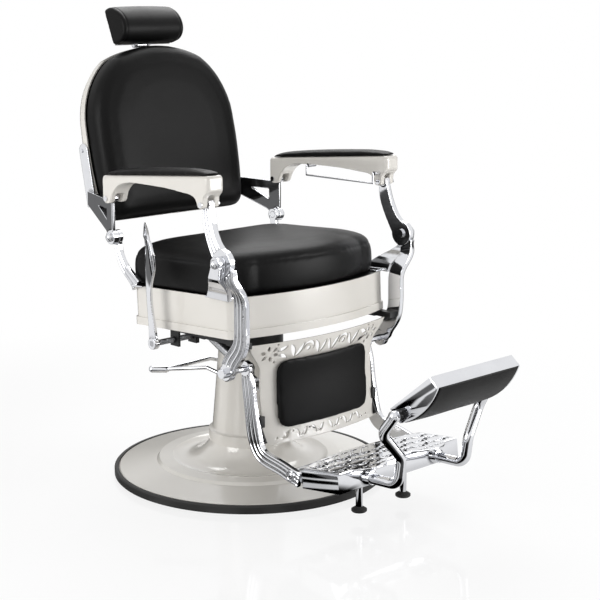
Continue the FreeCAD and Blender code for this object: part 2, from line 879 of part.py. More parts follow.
def front_knuckle_pins():
    inner = -front_knuckle_x + link_thick / 2 + running_gap
    cheek_out = -front_knuckle_x - link_thick / 2 - part_gap - bracket_cheek
    head = x_rod(inner, inner + knuckle_head_thick, front_knuckle_y, front_knuckle_z, knuckle_head_radius)
    shank = x_rod(cheek_out, inner, front_knuckle_y, front_knuckle_z, knuckle_pin_radius)
    cap = ball(Vector(cheek_out, front_knuckle_y, front_knuckle_z), knuckle_ball_radius)
    beyond = block(cheek_out, 0, -seat_half_width * 2, 0, 0, 2 * front_knuckle_z)
    pin = fused([head, shank, cap.cut(beyond)])
    return [pin, mirrored(pin)]


def knee_pins():
    outer = -leg_x - leg_thick / 2
    barrel = x_rod(outer - knee_barrel_length, outer, knee_y, knee_z, knee_barrel_radius)
    shank = x_rod(outer, -strut_bar_x + strut_bar_thick + part_gap, knee_y, knee_z, knee_pin_radius)
    pin = fused([barrel, shank])
    return [pin, mirrored(pin)]


# Rear supports from the skirt's top edge up to the recline pivot
rear_support_shares = [(0.0, 0.0, 0.0, 0.9, 1.0), (0.0, 0.05, 0.26, 0.85, 1.0), (0.1, 0.22, 0.52, 0.9, 1.0),
                       (0.4, 0.52, 0.74, 1.0, 1.0), (0.8, 0.85, 0.90, 1.2, 1.0), (1.0, 1.0, 1.0, 1.5, 1.0)]


def rear_support():
    drop = (rear_support_foot_y - seat_pivot_y) * math.tan(math.radians(seat_tilt_deg))
    eye_out = -rear_knuckle_x + rear_boss_thick / 2 + part_gap
    eye_in = eye_out + rear_eye_thick
    start = Vector((eye_out + eye_in) / 2, rear_knuckle_y, rear_knuckle_z)
    end = Vector(-rear_support_foot_x + rear_support_thick / 4, rear_support_foot_y,
                 skirt_top - drop + bracket_foot_thick / 2)
    bar = fluted_bar(start, end, rear_support_shares, rear_support_width, rear_support_thick, 2)
    eye = x_rod(eye_out, eye_in, rear_knuckle_y, rear_knuckle_z, rear_boss_radius)
    foot = foot_plates(0, bracket_foot_thick)[2]
    support = fused([bar, eye, foot])
    support = support.cut(x_rod(-2 * rear_knuckle_x, 0, rear_knuckle_y, rear_knuckle_z, rear_pin_radius))
    return support.cut(seat_tilted(seat_slab(0, skirt_bottom, skirt_top)))


def rear_knuckle_pins():
    outer = -rear_knuckle_x - rear_boss_thick / 2 - running_gap
    inner = -rear_knuckle_x + rear_boss_thick / 2 + part_gap + rear_eye_thick
    shank = x_rod(outer, inner, rear_knuckle_y, rear_knuckle_z, rear_pin_radius)
    cap = ball(Vector(outer, rear_knuckle_y, rear_knuckle_z), knuckle_ball_radius)
    beyond = block(outer, 0, 0, 2 * rear_knuckle_y, 0, 2 * rear_knuckle_z)
    pin = fused([shank, cap.cut(beyond)])
    return [pin, mirrored(pin)]


# Armrests, drawn straight and then splayed outwards to the front
def arm_splayed(shape):
    splayed = shape.copy()
    splayed.rotate(Vector(-arm_rear_x, arm_rear_y, 0), z_axis, -arm_splay_deg)
    return splayed


def arm_top(y):
    """Height of the armrest's top edge at a place along it."""
    share = (arm_rear_end - y) / (arm_rear_end - arm_front_end)
    return arm_rear_top + (arm_front_top - arm_rear_top) * share


# The underside from the rear fork to the front one, as shares of the length and, downwards, of the depth
arm_under_shares = [(0.085, -0.80), (0.102, -0.62), (0.139, -0.416), (0.20, -0.287), (0.28, -0.262),
                    (0.47, -0.335), (0.67, -0.462), (0.80, -0.582), (0.858, -0.657), (0.886, -0.761),
                    (0.901, -0.918), (0.910, -1.05)]
# The rear fork's foot, and the front fork's foot with the step up to the block, in the same shares
arm_rear_foot_shares = [(0.072, -0.955), (0.045, -1.0), (0.013, -0.945), (0.0, -0.78)]
arm_front_foot_shares = [(0.932, -1.085), (0.955, -1.04), (0.958, -0.74), (0.975, -0.635), (1.0, -0.51)]


def arm_side_point(share, depth_share):
    """A place on the armrest seen from the side, by its shares of the length and the depth."""
    y = arm_rear_end - share * (arm_rear_end - arm_front_end)
    return Vector(0, y, arm_top(y) + depth_share * arm_depth)


def arm_casting():
    under = [arm_side_point(a, b) for a, b in arm_under_shares]
    rear_foot = [arm_side_point(a, b) for a, b in arm_rear_foot_shares]
    front_foot = [arm_side_point(a, b) for a, b in arm_front_foot_shares]
    brow_z = arm_top(arm_front_end + arm_corner)
    nose = Vector(0, arm_front_end, brow_z - arm_corner)
    brow = Vector(0, arm_front_end + arm_corner, brow_z)
    slant = arm_corner * (1 - math.sqrt(0.5))
    cheek = Vector(0, arm_front_end + slant, brow_z - slant)
    top_rear = Vector(0, arm_rear_end, arm_rear_top)
    edges = [line(brow, top_rear), line(top_rear, rear_foot[3]), arc(rear_foot[3], rear_foot[2], rear_foot[1]),
             arc(rear_foot[1], rear_foot[0], under[0]), curve(under),
             arc(under[-1], front_foot[0], front_foot[1])]
    edges += [line(a, b) for a, b in zip(front_foot[1:], front_foot[2:])]
    edges += [line(front_foot[-1], nose), arc(nose, cheek, brow)]
    body = Part.Face(Part.Wire(edges)).extrude(Vector(arm_width, 0, 0))
    body.translate(Vector(-arm_rear_x - arm_width / 2, 0, 0))
    upright = [edge for edge in body.Edges
               if edge.BoundBox.YLength < overrun and edge.BoundBox.XLength < overrun
               and edge.BoundBox.YMin < arm_front_end + overrun and edge.BoundBox.ZLength > arm_corner]
    return body.makeFillet(arm_corner, upright)


def armrest():
    body = arm_splayed(arm_casting())
    rear = rear_fork_gap / 2
    front = front_fork_gap / 2
    rear_roof = arm_rear_z + fork_lobe_radius + overrun
    front_roof = arm_front_z + link_eye_radius + front_lobe_radius
    body = body.cut(block(-arm_rear_x - rear, -arm_rear_x + rear, arm_rear_y - 2 * rear_fork_gap,
                          arm_rear_end + overrun, 0, rear_roof))
    body = body.cut(block(-arm_front_x - front, -arm_front_x + front, arm_front_end - overrun,
                          arm_front_y + 2 * front_fork_gap, 0, front_roof))
    for x, y, z, radius in arm_pivots():
        body = body.cut(x_rod(x - arm_width, x + arm_width, y, z, radius))
    return body


def arm_pivots():
    return [(-arm_rear_x, arm_rear_y, arm_rear_z, arm_pin_radius),
            (-arm_front_x, arm_front_y, arm_front_z, arm_front_pin_radius)]


def arm_pins():
    """Two headed pins: the rear one turns in the backrest's lug, the front one in the link's eye."""
    half = arm_width / 2
    pins = []
    for x, y, z, radius in arm_pivots():
        pins.append(fused([x_rod(x - half - pin_head_thick, x - half, y, z, pin_head_radius),
                           x_rod(x - half, x + half, y, z, radius),
                           x_rod(x + half, x + half + pin_head_thick, y, z, pin_head_radius)]))
    casting = arm_splayed(arm_casting())
    for x, y, z, radius in arm_pivots():
        casting = casting.cut(x_rod(x - arm_width, x + arm_width, y, z, radius))
    return [pin.cut(casting) for pin in pins]


pad_shoulder_share = 0.55
arm_pad_shares = [(0.0, 0.80, 0.22), (0.035, 0.95, 0.50), (0.14, 1.0, 0.80), (0.42, 1.0, 1.0), (0.72, 1.0, 0.95),
                  (0.92, 0.97, 0.70), (0.975, 0.88, 0.45), (1.0, 0.70, 0.20)]


def arm_pad():
    rear = arm_rear_end - arm_pad_margin
    front = arm_front_end + arm_pad_margin
    wires = []
    for along, wide, tall in arm_pad_shares:
        y = rear + (front - rear) * along
        low = arm_top(y) + soft_gap
        half = arm_pad_width / 2 * wide
        crown = arm_pad_crown * tall
        shoulder = crown * pad_shoulder_share
        left = Vector(-arm_rear_x - half, y, low)
        right = Vector(-arm_rear_x + half, y, low)
        left_up = Vector(-arm_rear_x - half, y, low + shoulder)
        right_up = Vector(-arm_rear_x + half, y, low + shoulder)
        top = Vector(-arm_rear_x, y, low + crown)
        wires.append(Part.Wire([line(left, left_up), arc(left_up, top, right_up), line(right_up, right),
                                line(right, left)]))
    return arm_splayed(Part.makeLoft(wires, True, False))


def towel_rail():
    rear = Vector(towel_rail_x, towel_rail_rear, towel_rail_top)
    rear_low = Vector(towel_rail_x, towel_rail_rear, towel_rail_low)
    front_low = Vector(towel_rail_x, towel_rail_front, towel_rail_low)
    front = Vector(towel_rail_x, towel_rail_front, towel_rail_top)
    wall = arm_rear_x - arm_width / 2
    pieces = [rod(rear, rear_low, towel_rail_radius), rod(rear_low, front_low, towel_rail_radius),
              rod(front_low, front, towel_rail_radius)]
    for corner in (rear, rear_low, front_low, front):
        pieces.append(ball(corner, towel_rail_radius))
    for end in (rear, front):
        reach = Vector(arm_rear_x, end.y, end.z)
        pieces.append(rod(end, reach, towel_rail_radius))
        foot = Vector(wall - towel_foot_length / 2, end.y, end.z)
        pieces.append(rod(foot, reach, towel_foot_radius))
    return fused(pieces).cut(mirrored(arm_splayed(arm_casting())))


# Backrest, upright: x across, y from the pad's edge plane to the rear, z up from the foot
back_foot_fade = 6
back_foot_shares = [(0.84, 0.0), (0.92, 0.017)]
back_side_shares = [(0.954, 0.058), (0.997, 0.28), (1.0, 0.54)]
back_shoulder_shares = [(0.882, 0.775), (0.612, 0.930)]


def back_outline(inset, y, lift=0):
    """The arched outline of the backrest, drawn smaller by the inset, its foot raised by the lift."""
    wide = back_half_width - inset
    middle = back_height / 2
    tall = (middle - inset) / middle

    def at(x_share, z_share):
        rise = lift * (1 - z_share) ** back_foot_fade
        return Vector(x_share * wide, y, middle + (z_share - 0.5) * back_height * tall + rise)

    corner, hip, waist = [at(a, b) for a, b in back_side_shares]
    shoulder, brow = [at(a, b) for a, b in back_shoulder_shares]
    crown = at(0, 1.0)
    foot, heel = [at(a, b) for a, b in back_foot_shares]

    def flip(point):
        return Vector(-point.x, point.y, point.z)

    right = [arc(foot, heel, corner), arc(corner, hip, waist), arc(waist, shoulder, brow)]
    left = [arc(flip(brow), flip(shoulder), flip(waist)), arc(flip(waist), flip(hip), flip(corner)),
            arc(flip(corner), flip(heel), flip(foot))]
    return Part.Wire(right + [arc(brow, crown, flip(brow))] + left + [line(flip(foot), foot)])


back_pad_shares = [(0.0, 0.030), (0.12, 0.0), (0.52, 0.0), (0.74, 0.025), (0.88, 0.085), (0.96, 0.21),
                   (1.0, 0.42)]


def back_cushion():
    depth = back_pad_rear + back_pad_front
    wires = [back_outline(back_half_width * inset, back_pad_rear - depth * share)
             for share, inset in back_pad_shares]
    return back_tilted(Part.makeLoft(wires, True, True))


shell_round_shares = [(0.0, 0.0), (0.5, 0.0), (0.78, 0.02), (0.92, 0.05), (1.0, 0.09)]


def shell_body(wall):
    front = back_pad_rear + soft_gap
    depth = shell_depth - front - wall
    wires = [back_outline(back_half_width * inset - shell_margin + wall, front + depth * share,
                          shell_foot_rise * share) for share, inset in shell_round_shares]
    return Part.makeLoft(wires, True, True)


def head_post_space(gap, low, high):
    half = head_post_half + gap
    return block(-half, half, head_post_y - head_post_thick / 2 - gap,
                 head_post_y + head_post_thick / 2 + gap, low, high)


def back_shell():
    shell = shell_body(0).cut(shell_body(shell_wall))
    shell = shell.cut(head_post_space(part_gap, head_post_low, back_height + head_post_low))
    return back_tilted(shell)


def back_board():
    """Board behind the upholstery, with the guide block that the headrest's post slides in."""
    front = back_pad_rear + soft_gap
    inset = shell_wall - shell_margin + part_gap
    outlines = [back_outline(inset, y, shell_foot_rise) for y in (front, front + back_board_thick)]
    board = Part.makeLoft(outlines, True, True)
    guide = block(-post_socket_half, post_socket_half, front + back_board_thick / 2,
                  shell_depth - 2 * shell_wall, post_socket_low, post_socket_high)
    board = fused([board, guide])
    return back_tilted(board.cut(head_post_space(soft_gap, 0, 2 * back_height)))


fork_plate_shares = [(0.0, 0.95), (0.86, 0.90), (0.955, 0.96), (1.05, 0.90), (1.05, 0.20), (1.02, 0.0),
                     (0.90, 0.0), (0.78, 0.13), (0.0, 0.60)]
fork_window_shares = [(0.46, 0.69), (0.83, 0.67), (0.84, 0.40)]
fork_plate_height = arm_lug_rise + overrun


def back_bracket():
    """Strap up the side of the shell, with the open triangular plate that carries both pivots."""
    outer = shell_outer_x()
    strap = block(-outer - strap_thick, -outer, strap_front, strap_front + strap_width, strap_low, strap_high)
    cap = rod(Vector(-outer - strap_thick, strap_front + strap_width / 2, strap_high),
              Vector(-outer, strap_front + strap_width / 2, strap_high), strap_width / 2)
    strap = back_tilted(fused([strap, cap]))
    start = Vector(-fork_plate_x, fork_plate_rear_y, rear_knuckle_z)
    reach = Vector(-rear_knuckle_x, rear_knuckle_y, rear_knuckle_z).sub(start)

    def at(share, rise):
        return start.add(Vector(reach).multiply(share)).add(Vector(0, 0, rise * fork_plate_height))

    across = reach.cross(z_axis).normalize().multiply(fork_plate_thick)
    corners = [at(a, b) for a, b in fork_plate_shares]
    window = [at(a, b) for a, b in fork_window_shares]
    plate = Part.Face(Part.makePolygon(corners + corners[:1])).extrude(across)
    plate = plate.cut(Part.Face(Part.makePolygon(window + window[:1])).extrude(across))
    plate.translate(Vector(across).multiply(-0.5))
    knuckle = x_rod(-rear_knuckle_x - rear_boss_thick / 2, -rear_knuckle_x + rear_boss_thick / 2,
                    rear_knuckle_y, rear_knuckle_z, rear_boss_radius)
    lug_half = (rear_fork_gap - fork_lobe_radius / 2) / 2
    lug = x_rod(-arm_rear_x - lug_half, -arm_rear_x + lug_half, arm_rear_y, arm_rear_z,
                fork_lobe_radius - overrun)
    bracket = fused([strap, plate, knuckle, lug])
    bracket = bracket.cut(x_rod(-2 * rear_knuckle_x, 0, rear_knuckle_y, rear_knuckle_z,
                                rear_pin_radius + running_gap))
    bracket = bracket.cut(x_rod(-2 * rear_knuckle_x, 0, arm_rear_y, arm_rear_z, arm_pin_radius + running_gap))
    bracket = bracket.cut(x_rod(-2 * rear_knuckle_x, -rear_knuckle_x - rear_boss_thick / 2, rear_knuckle_y,
                                rear_knuckle_z, rear_boss_radius))
    bracket = bracket.cut(x_rod(-rear_knuckle_x + rear_boss_thick / 2, 0, rear_knuckle_y, rear_knuckle_z,
                                rear_boss_radius + part_gap))
    return bracket.cut(back_tilted(shell_body(0)))


def shell_outer_x():
    return back_half_width + shell_margin


def strap_screws():
    outer = shell_outer_x() + strap_thick
    screws = []
    for height in (strap_low + strap_width, strap_high):
        spot = strap_front + strap_width * strap_screw_share
        screw = rod(Vector(-outer - strap_screw_height, spot, height), Vector(-outer, spot, height),
                    strap_screw_radius)
        screws.append(back_tilted(screw))
    return screws + [mirrored(screw) for screw in screws]


# Headrest
head_profile_shares = [(0.0, 0.02), (0.40, 0.0), (0.84, 0.10), (1.0, 0.33), (0.93, 0.60), (0.66, 0.84),
                       (0.38, 0.97), (0.0, 1.0)]


def head_hinge():
    """Centre of the headrest's hinge in the upright backrest's own frame."""
    return Vector(0, head_post_y, head_hinge_z)


def head_tilted(shape):
    """Lean a headrest piece back and stand its rear foot at the hinge."""
    tilted = shape.copy()
    tilted.rotate(origin, x_axis, -head_tilt_deg)
    spot = Part.Vertex(head_hinge())
    spot = back_tilted(spot).Point
    tilted.translate(spot)
    return tilted


def head_wire(x, scale):
    start = head_hinge_radius + head_plate_thick + part_gap
    low = -head_hinge_radius
    middle = head_height / 2
    points = [Vector(x, -start - head_depth * a * scale, low + middle + head_height * (b - 0.5) * scale)
              for a, b in head_profile_shares]
    front = [arc(points[1], points[2], points[3]), arc(points[3], points[4], points[5]),
             arc(points[5], points[6], points[7])]
    return Part.Wire([line(points[0], points[1])] + front + [line(points[7], points[0])])


head_end_shares = [(-1.0, 0.90), (-0.965, 0.97), (-0.90, 1.0), (0.0, 1.02), (0.90, 1.0), (0.965, 0.97),
                   (1.0, 0.90)]


def head_cushion():
    wires = [head_wire(head_half_length * a, scale) for a, scale in head_end_shares]
    return head_tilted(Part.makeLoft(wires, True, True))


def head_plate():
    front = -head_hinge_radius - head_plate_thick
    half = head_half_length - head_plate_margin
    low = -head_hinge_radius + head_plate_margin / 2
    plate = block(-half, half, front - part_gap / 2, front + head_plate_thick, low,
                  low + head_height - 2 * head_plate_margin)
    lugs = []
    for side in (-1, 1):
        span = [side * (head_post_half + overrun), side * head_hinge_half]
        barrel = x_rod(min(span), max(span), 0, 0, head_hinge_radius)
        web = block(min(span), max(span), front, 0, -head_hinge_radius / 2, head_hinge_radius)
        lugs += [barrel, web]
    piece = fused([plate] + lugs)
    bore = head_hinge_radius / 2 + running_gap
    return head_tilted(piece.cut(x_rod(-head_half_length, head_half_length, 0, 0, bore)))


def head_post():
    """Flat post with a barrel on top and the pin of the hinge pressed through it."""
    post = head_post_space(0, head_post_low, head_hinge_z)
    barrel = x_rod(-head_post_half, head_post_half, head_post_y, head_hinge_z, head_hinge_radius)
    pin = x_rod(-head_hinge_half, head_hinge_half, head_post_y, head_hinge_z, head_hinge_radius / 2)
    return back_tilted(fused([post, barrel, pin]))


# Leg rest
side_arm_shares = [(0.0, 0.0, 0.0, 0.80, 1.0), (0.0, 0.03, 0.12, 0.94, 1.0), (0.0, 0.08, 0.34, 1.02, 1.0),
                   (0.0, 0.13, 0.56, 1.10, 1.0), (0.0, 0.19, 0.74, 1.14, 1.0), (0.0, 0.32, 0.88, 1.06, 1.0),
                   (0.0, 0.56, 0.935, 1.0, 1.0), (0.0, 0.80, 0.965, 0.98, 1.0), (0.0, 1.0, 1.0, 1.0, 1.0),
                   (0.0, 1.17, 1.035, 0.92, 1.0)]


def side_arm():
    start = Vector(-side_arm_x, knee_y, knee_z)
    end = Vector(-side_arm_x, side_arm_end_y, side_arm_end_z)
    bar = fluted_bar(start, end, side_arm_shares, side_arm_width, side_arm_thick)
    half = side_arm_thick / 2
    eye = x_rod(-side_arm_x - half, -side_arm_x + half, knee_y, knee_z, side_arm_eye_radius)
    face = -side_arm_x - half
    boss = x_rod(face - side_arm_boss_height, -side_arm_x, side_arm_end_y, side_arm_end_z,
                 side_arm_boss_radius)
    recess = x_rod(face - side_arm_boss_height, face, side_arm_end_y, side_arm_end_z,
                   side_arm_boss_radius - side_arm_boss_height)
    screw = x_rod(face - side_arm_boss_height, face, side_arm_end_y, side_arm_end_z, side_arm_screw_radius)
    arm = fused([fused([bar, eye, boss]).cut(recess), screw])
    return arm.cut(x_rod(-2 * side_arm_x, 0, knee_y, knee_z, knee_pin_radius + running_gap))


strut_bar_shares = [(0.0, 0.0, 0.0, 1.0, 1.0), (0.0, 0.10, 0.30, 1.0, 1.0), (0.0, 0.45, 0.70, 1.0, 1.0),
                    (0.0, 1.0, 1.0, 1.0, 1.0)]


def strut_bar_end():
    return Vector(-strut_bar_x + strut_bar_thick / 2, knee_y + (calf_low_y() - knee_y) * strut_bar_foot_share,
                  calf_low_z)


def strut_bar():
    """Flat bar inside each side arm that carries the calf plate."""
    start = Vector(-strut_bar_x + strut_bar_thick / 2, knee_y, knee_z)
    bar = fluted_bar(start, strut_bar_end(), strut_bar_shares, strut_bar_width, strut_bar_thick, 0)
    eye = x_rod(-strut_bar_x, -strut_bar_x + strut_bar_thick, knee_y, knee_z, strut_bar_width / 2 + overrun)
    middle = start.add(strut_bar_end().sub(start).multiply(1 - clamp_low_share))
    half = strut_bar_width / 2 + overrun
    clamp = block(-side_arm_x + side_arm_thick / 2, -strut_bar_x + strut_bar_thick + overrun,
                  middle.y - half, middle.y + half, middle.z - clamp_height / 2, middle.z + clamp_height / 2)
    bar = fused([bar, eye, clamp])
    bar = bar.cut(calf_plate_body())
    bar = bar.cut(side_arm())
    bar = bar.cut(x_rod(-2 * side_arm_x, 0, knee_y, knee_z, knee_pin_radius + running_gap))
    return bar.cut(x_rod(-2 * side_arm_x, 0, crossbar_y, crossbar_z, crossbar_radius))


def leg_crossbar():
    reach = strut_bar_x
    return x_rod(-reach, reach, crossbar_y, crossbar_z, crossbar_radius)


def calf_low_y():
    return calf_top_y - calf_thick * 3


calf_shares = [(0.0, 0.0, 0.0), (0.12, 0.45, 0.45), (0.28, 1.0, 0.65), (0.55, 1.0, 0.60), (0.80, 1.0, 0.25),
               (1.0, 1.0, -0.10)]


def calf_strip(half, y, height, thick):
    """One bowed strip of the calf plate, seen from above."""
    bow = calf_bow * (half / calf_top_half) ** 2
    front = y - thick
    a, b = Vector(-half, y, height), Vector(half, y, height)
    c, d = Vector(half, front, height), Vector(-half, front, height)
    return Part.Wire([arc(a, Vector(0, y - bow, height), b), line(b, c),
                      arc(c, Vector(0, front - bow, height), d), line(d, a)])


def calf_half(down, narrow):
    """Half the calf plate's width at a share of the way down."""
    low_half = calf_mid_half + (calf_low_half - calf_mid_half) * down
    return calf_top_half + (low_half - calf_top_half) * narrow


def calf_plate_body():
    setback = 4 * calf_thick
    wires = []
    for down, narrow, back in calf_shares:
        height = calf_top_z + (calf_low_z - calf_top_z) * down
        wires.append(calf_strip(calf_half(down, narrow), calf_top_y + setback * back, height, calf_thick))
    return Part.makeLoft(wires, True, False)


# Scrollwork: hooked slots that turn up and down by turns, with an eye inside each hook and leaves between them
scroll_sweep_deg = 225
scroll_lean_deg = 35
scroll_eye_share = 0.34
scroll_leaf_length_share = 1.25
scroll_leaf_width_share = 0.62


def hooked_slot(x, z, radius, width, facing_deg):
    """Outline of one hooked slot with round ends, upright across the chair; its bow faces the given way."""
    outer, inner = radius + width / 2, radius - width / 2

    def at(reach, turn, ahead=0):
        angle = math.radians(facing_deg + turn)
        along = Vector(math.cos(angle), 0, math.sin(angle)).multiply(reach)
        tangent = Vector(-math.sin(angle), 0, math.cos(angle)).multiply(ahead)
        return Vector(x, 0, z).add(along).add(tangent)

    half = scroll_sweep_deg / 2
    edges = [arc(at(outer, -half), at(outer, 0), at(outer, half)),
             arc(at(outer, half), at(radius, half, width / 2), at(inner, half)),
             arc(at(inner, half), at(inner, 0), at(inner, -half)),
             arc(at(inner, -half), at(radius, -half, -width / 2), at(outer, -half))]
    return Part.Wire(edges)


def leaf_outline(x, z, length, width, angle_deg):
    middle = length / 2
    a, b = Vector(-middle, 0, 0), Vector(middle, 0, 0)
    wire = Part.Wire([arc(a, Vector(0, 0, width / 2), b), arc(b, Vector(0, 0, -width / 2), a)])
    wire.rotate(origin, y_axis, angle_deg)
    wire.translate(Vector(x, 0, z))
    return wire


def scroll_row(columns, pitch, z, radius, width, depth, first=1):
    """Openings of one mirrored row of scrollwork, all cut through to the given depth in front of the plane."""
    outlines = []
    for column in range(columns):
        way = first if column % 2 else -first
        x = (column + 0.5) * pitch
        lift = way * width / 2
        for side in (-1, 1):
            outlines.append(hooked_slot(side * x, z - lift, radius, width, way * 90))
            eye = Part.makeCircle(radius * scroll_eye_share, Vector(side * x, 0, z - lift), y_axis)
            outlines.append(Part.Wire(eye))
            if column + 1 < columns:
                outlines.append(leaf_outline(side * (x + pitch / 2), z, radius * scroll_leaf_length_share,
                                             radius * scroll_leaf_width_share,
                                             90 + side * way * scroll_lean_deg))
    return [Part.Face(outline).extrude(Vector(0, -depth, 0)) for outline in outlines]


def calf_holes():
    """Mirrored scrollwork in a band above the pad and a narrower one below it."""
    holes = []
    bands = [(calf_upper_band_z, calf_upper_columns, 1),
             (calf_lower_band_z, calf_lower_columns, calf_lower_scale)]
    for z, columns, scale in bands:
        holes += scroll_row(columns, calf_scroll_pitch * scale, z, calf_scroll_radius * scale,
                            calf_scroll_width * scale, 3 * calf_bow)
    for hole in holes:
        hole.translate(Vector(0, calf_top_y + calf_bow, 0))
    return holes


def calf_plate():
    return calf_plate_body().cut(Part.makeCompound(calf_holes()))


def rounded_panel(half, low, high, corner, y):
    """A rounded rectangle in an upright plane across the chair."""
    slant = corner * (1 - math.sqrt(0.5))

    def at(x, z):
        return Vector(x, y, z)

    edges = [line(at(-half + corner, low), at(half - corner, low)),
             arc(at(half - corner, low), at(half - slant, low + slant), at(half, low + corner)),
             line(at(half, low + corner), at(half, high - corner)),
             arc(at(half, high - corner), at(half - slant, high - slant), at(half - corner, high)),
             line(at(half - corner, high), at(-half + corner, high)),
             arc(at(-half + corner, high), at(-half + slant, high - slant), at(-half, high - corner)),
             line(at(-half, high - corner), at(-half, low + corner)),
             arc(at(-half, low + corner), at(-half + slant, low + slant), at(-half + corner, low))]
    return Part.Wire(edges)


def calf_pad():
    """The bowed pad in the middle of the calf plate, crowned towards its middle."""
    panel = Part.Face(rounded_panel(calf_pad_half, calf_pad_low, calf_pad_high, calf_pad_corner,
                                    calf_top_y + calf_bow))
    column = panel.extrude(Vector(0, -3 * calf_bow, 0))
    wires = []
    setback = 4 * calf_thick
    for down, narrow, back in calf_shares:
        height = calf_top_z + (calf_low_z - calf_top_z) * down
        y = calf_top_y + setback * back - calf_thick - soft_gap
        crown = calf_pad_thick * (1 - calf_pad_fall_share * abs(down - 0.5) * 2)
        wires.append(calf_strip(calf_half(down, narrow), y, height, crown))
    return Part.makeLoft(wires, True, False).common(column)


# Foot platform, drawn level and then sloped up to the front
def platform_sloped(shape):
    sloped = shape.copy()
    sloped.rotate(Vector(0, platform_rear, platform_top), x_axis, -platform_slope_deg)
    return sloped


def platform_frame():
    low = platform_top - platform_height
    wall = platform_wall
    tail_half = side_arm_x - side_arm_thick / 2 - running_gap
    pieces = [block(-platform_half, platform_half, platform_front, platform_front + wall, low, platform_top)]
    for side in (-1, 1):
        rail = [side * (platform_half - wall), side * platform_half]
        pieces.append(block(min(rail), max(rail), platform_front, platform_rear, low, platform_top))
        tail = [side * (tail_half - wall), side * tail_half]
        pieces.append(block(min(tail), max(tail), platform_rear - wall, platform_tail, low + wall / 4,
                            platform_top - wall / 4))
        foot = [side * (foot_x - wall / 2), side * (foot_x + wall / 2)]
        pieces.append(block(min(foot), max(foot), platform_front, platform_tail, low + wall / 3,
                            low + wall))
        barrel = Vector(side * socket_x, platform_front, low + platform_height / 2)
        pieces.append(rod(barrel, barrel.add(Vector(0, -socket_length, 0)), socket_radius))
    pieces.append(block(-tail_half, tail_half, platform_tail - wall / 2, platform_tail, low + wall / 4,
                        platform_top - wall / 4))
    frame = platform_sloped(fused(pieces))
    for arm in (side_arm(), mirrored(side_arm())):
        frame = frame.cut(arm)
    for tube in (flip_tube(), mirrored(flip_tube())):
        frame = frame.cut(tube)
    for stem in foot_stem_rods():
        frame = frame.cut(stem)
    return frame


def tread_outline(height):
    """The tread plate from above: straight sides, a bowed rear edge and two lobes at the front."""
    half = platform_half - tread_thick

    def at(x, y):
        return Vector(x, y, height)

    rear = platform_rear + part_gap
    front = platform_front
    hip = tread_lobe_x * tread_lobe_out_share
    waist = tread_lobe_x * tread_lobe_in_share
    edges = [line(at(-half, front), at(-half, rear)), arc(at(-half, rear), at(0, tread_rear), at(half, rear)),
             line(at(half, rear), at(half, front)), line(at(half, front), at(hip, front)),
             arc(at(hip, front), at(tread_lobe_x, front - tread_lobe), at(waist, front)),
             line(at(waist, front), at(-waist, front)),
             arc(at(-waist, front), at(-tread_lobe_x, front - tread_lobe), at(-hip, front)),
             line(at(-hip, front), at(-half, front))]
    return Part.Wire(edges)


def tread_holes():
    """Rows of mirrored scrollwork, laid flat, that fill the plate between its rim and the lobes."""
    holes = []
    for row in range(tread_rows):
        columns = tread_columns - (tread_rear_cut if row == tread_rows - 1 else 0)
        y = platform_front + tread_margin + (row + 0.5) * tread_pitch_y
        for hole in scroll_row(columns, tread_pitch_x, 0, tread_scroll_radius, tread_scroll_width,
                               tread_thick + 2 * overrun, 1 if row % 2 else -1):
            hole.rotate(origin, x_axis, -90)
            hole.translate(Vector(0, y, platform_top - overrun))
            holes.append(hole)
    return holes


def tread_plate():
    plate = Part.Face(tread_outline(platform_top)).extrude(Vector(0, 0, tread_thick))
    plate = plate.cut(Part.makeCompound(tread_holes()))
    plate = platform_sloped(plate)
    for tube in (flip_tube(), mirrored(flip_tube())):
        plate = plate.cut(tube)
    for arm in (side_arm(), mirrored(side_arm())):
        plate = plate.cut(arm)
    return plate


def foot_stem_rods():
    low = foot_cup_low + foot_cup_height
    stems = []
    for side in (-1, 1):
        spot = Vector(side * foot_x, foot_y, low)
        stems.append(Part.makeCylinder(foot_stem_radius, platform_top - low, spot))
    return stems


def foot_stems():
    slope = math.tan(math.radians(platform_slope_deg))
    under = platform_top - platform_height + (platform_rear - foot_y) * slope
    stems = []
    for stem in foot_stem_rods():
        spot = stem.BoundBox.Center
        nut = Part.makeCylinder(foot_nut_radius, foot_nut_height,
                                Vector(spot.x, foot_y, under - foot_nut_height / 2))
        stems.append(stem.fuse(nut.cut(platform_frame_under())).removeSplitter())
    return stems


def platform_frame_under():
    low = platform_top - platform_height
    reach = 2 * platform_half
    return platform_sloped(block(-reach, reach, -reach * 2, 0, low + platform_wall / 3, platform_top * 2))


def foot_cups():
    cups = []
    for side in (-1, 1):
        cup = turned([(0, 0), (foot_cup_radius - overrun, 0), (foot_cup_radius, overrun),
                      (foot_cup_radius, foot_cup_height / 2), (foot_stem_radius, foot_cup_height),
                      (0, foot_cup_height)])
        cup.translate(Vector(side * foot_x, foot_y, foot_cup_low))
        cups.append(cup)
    return cups


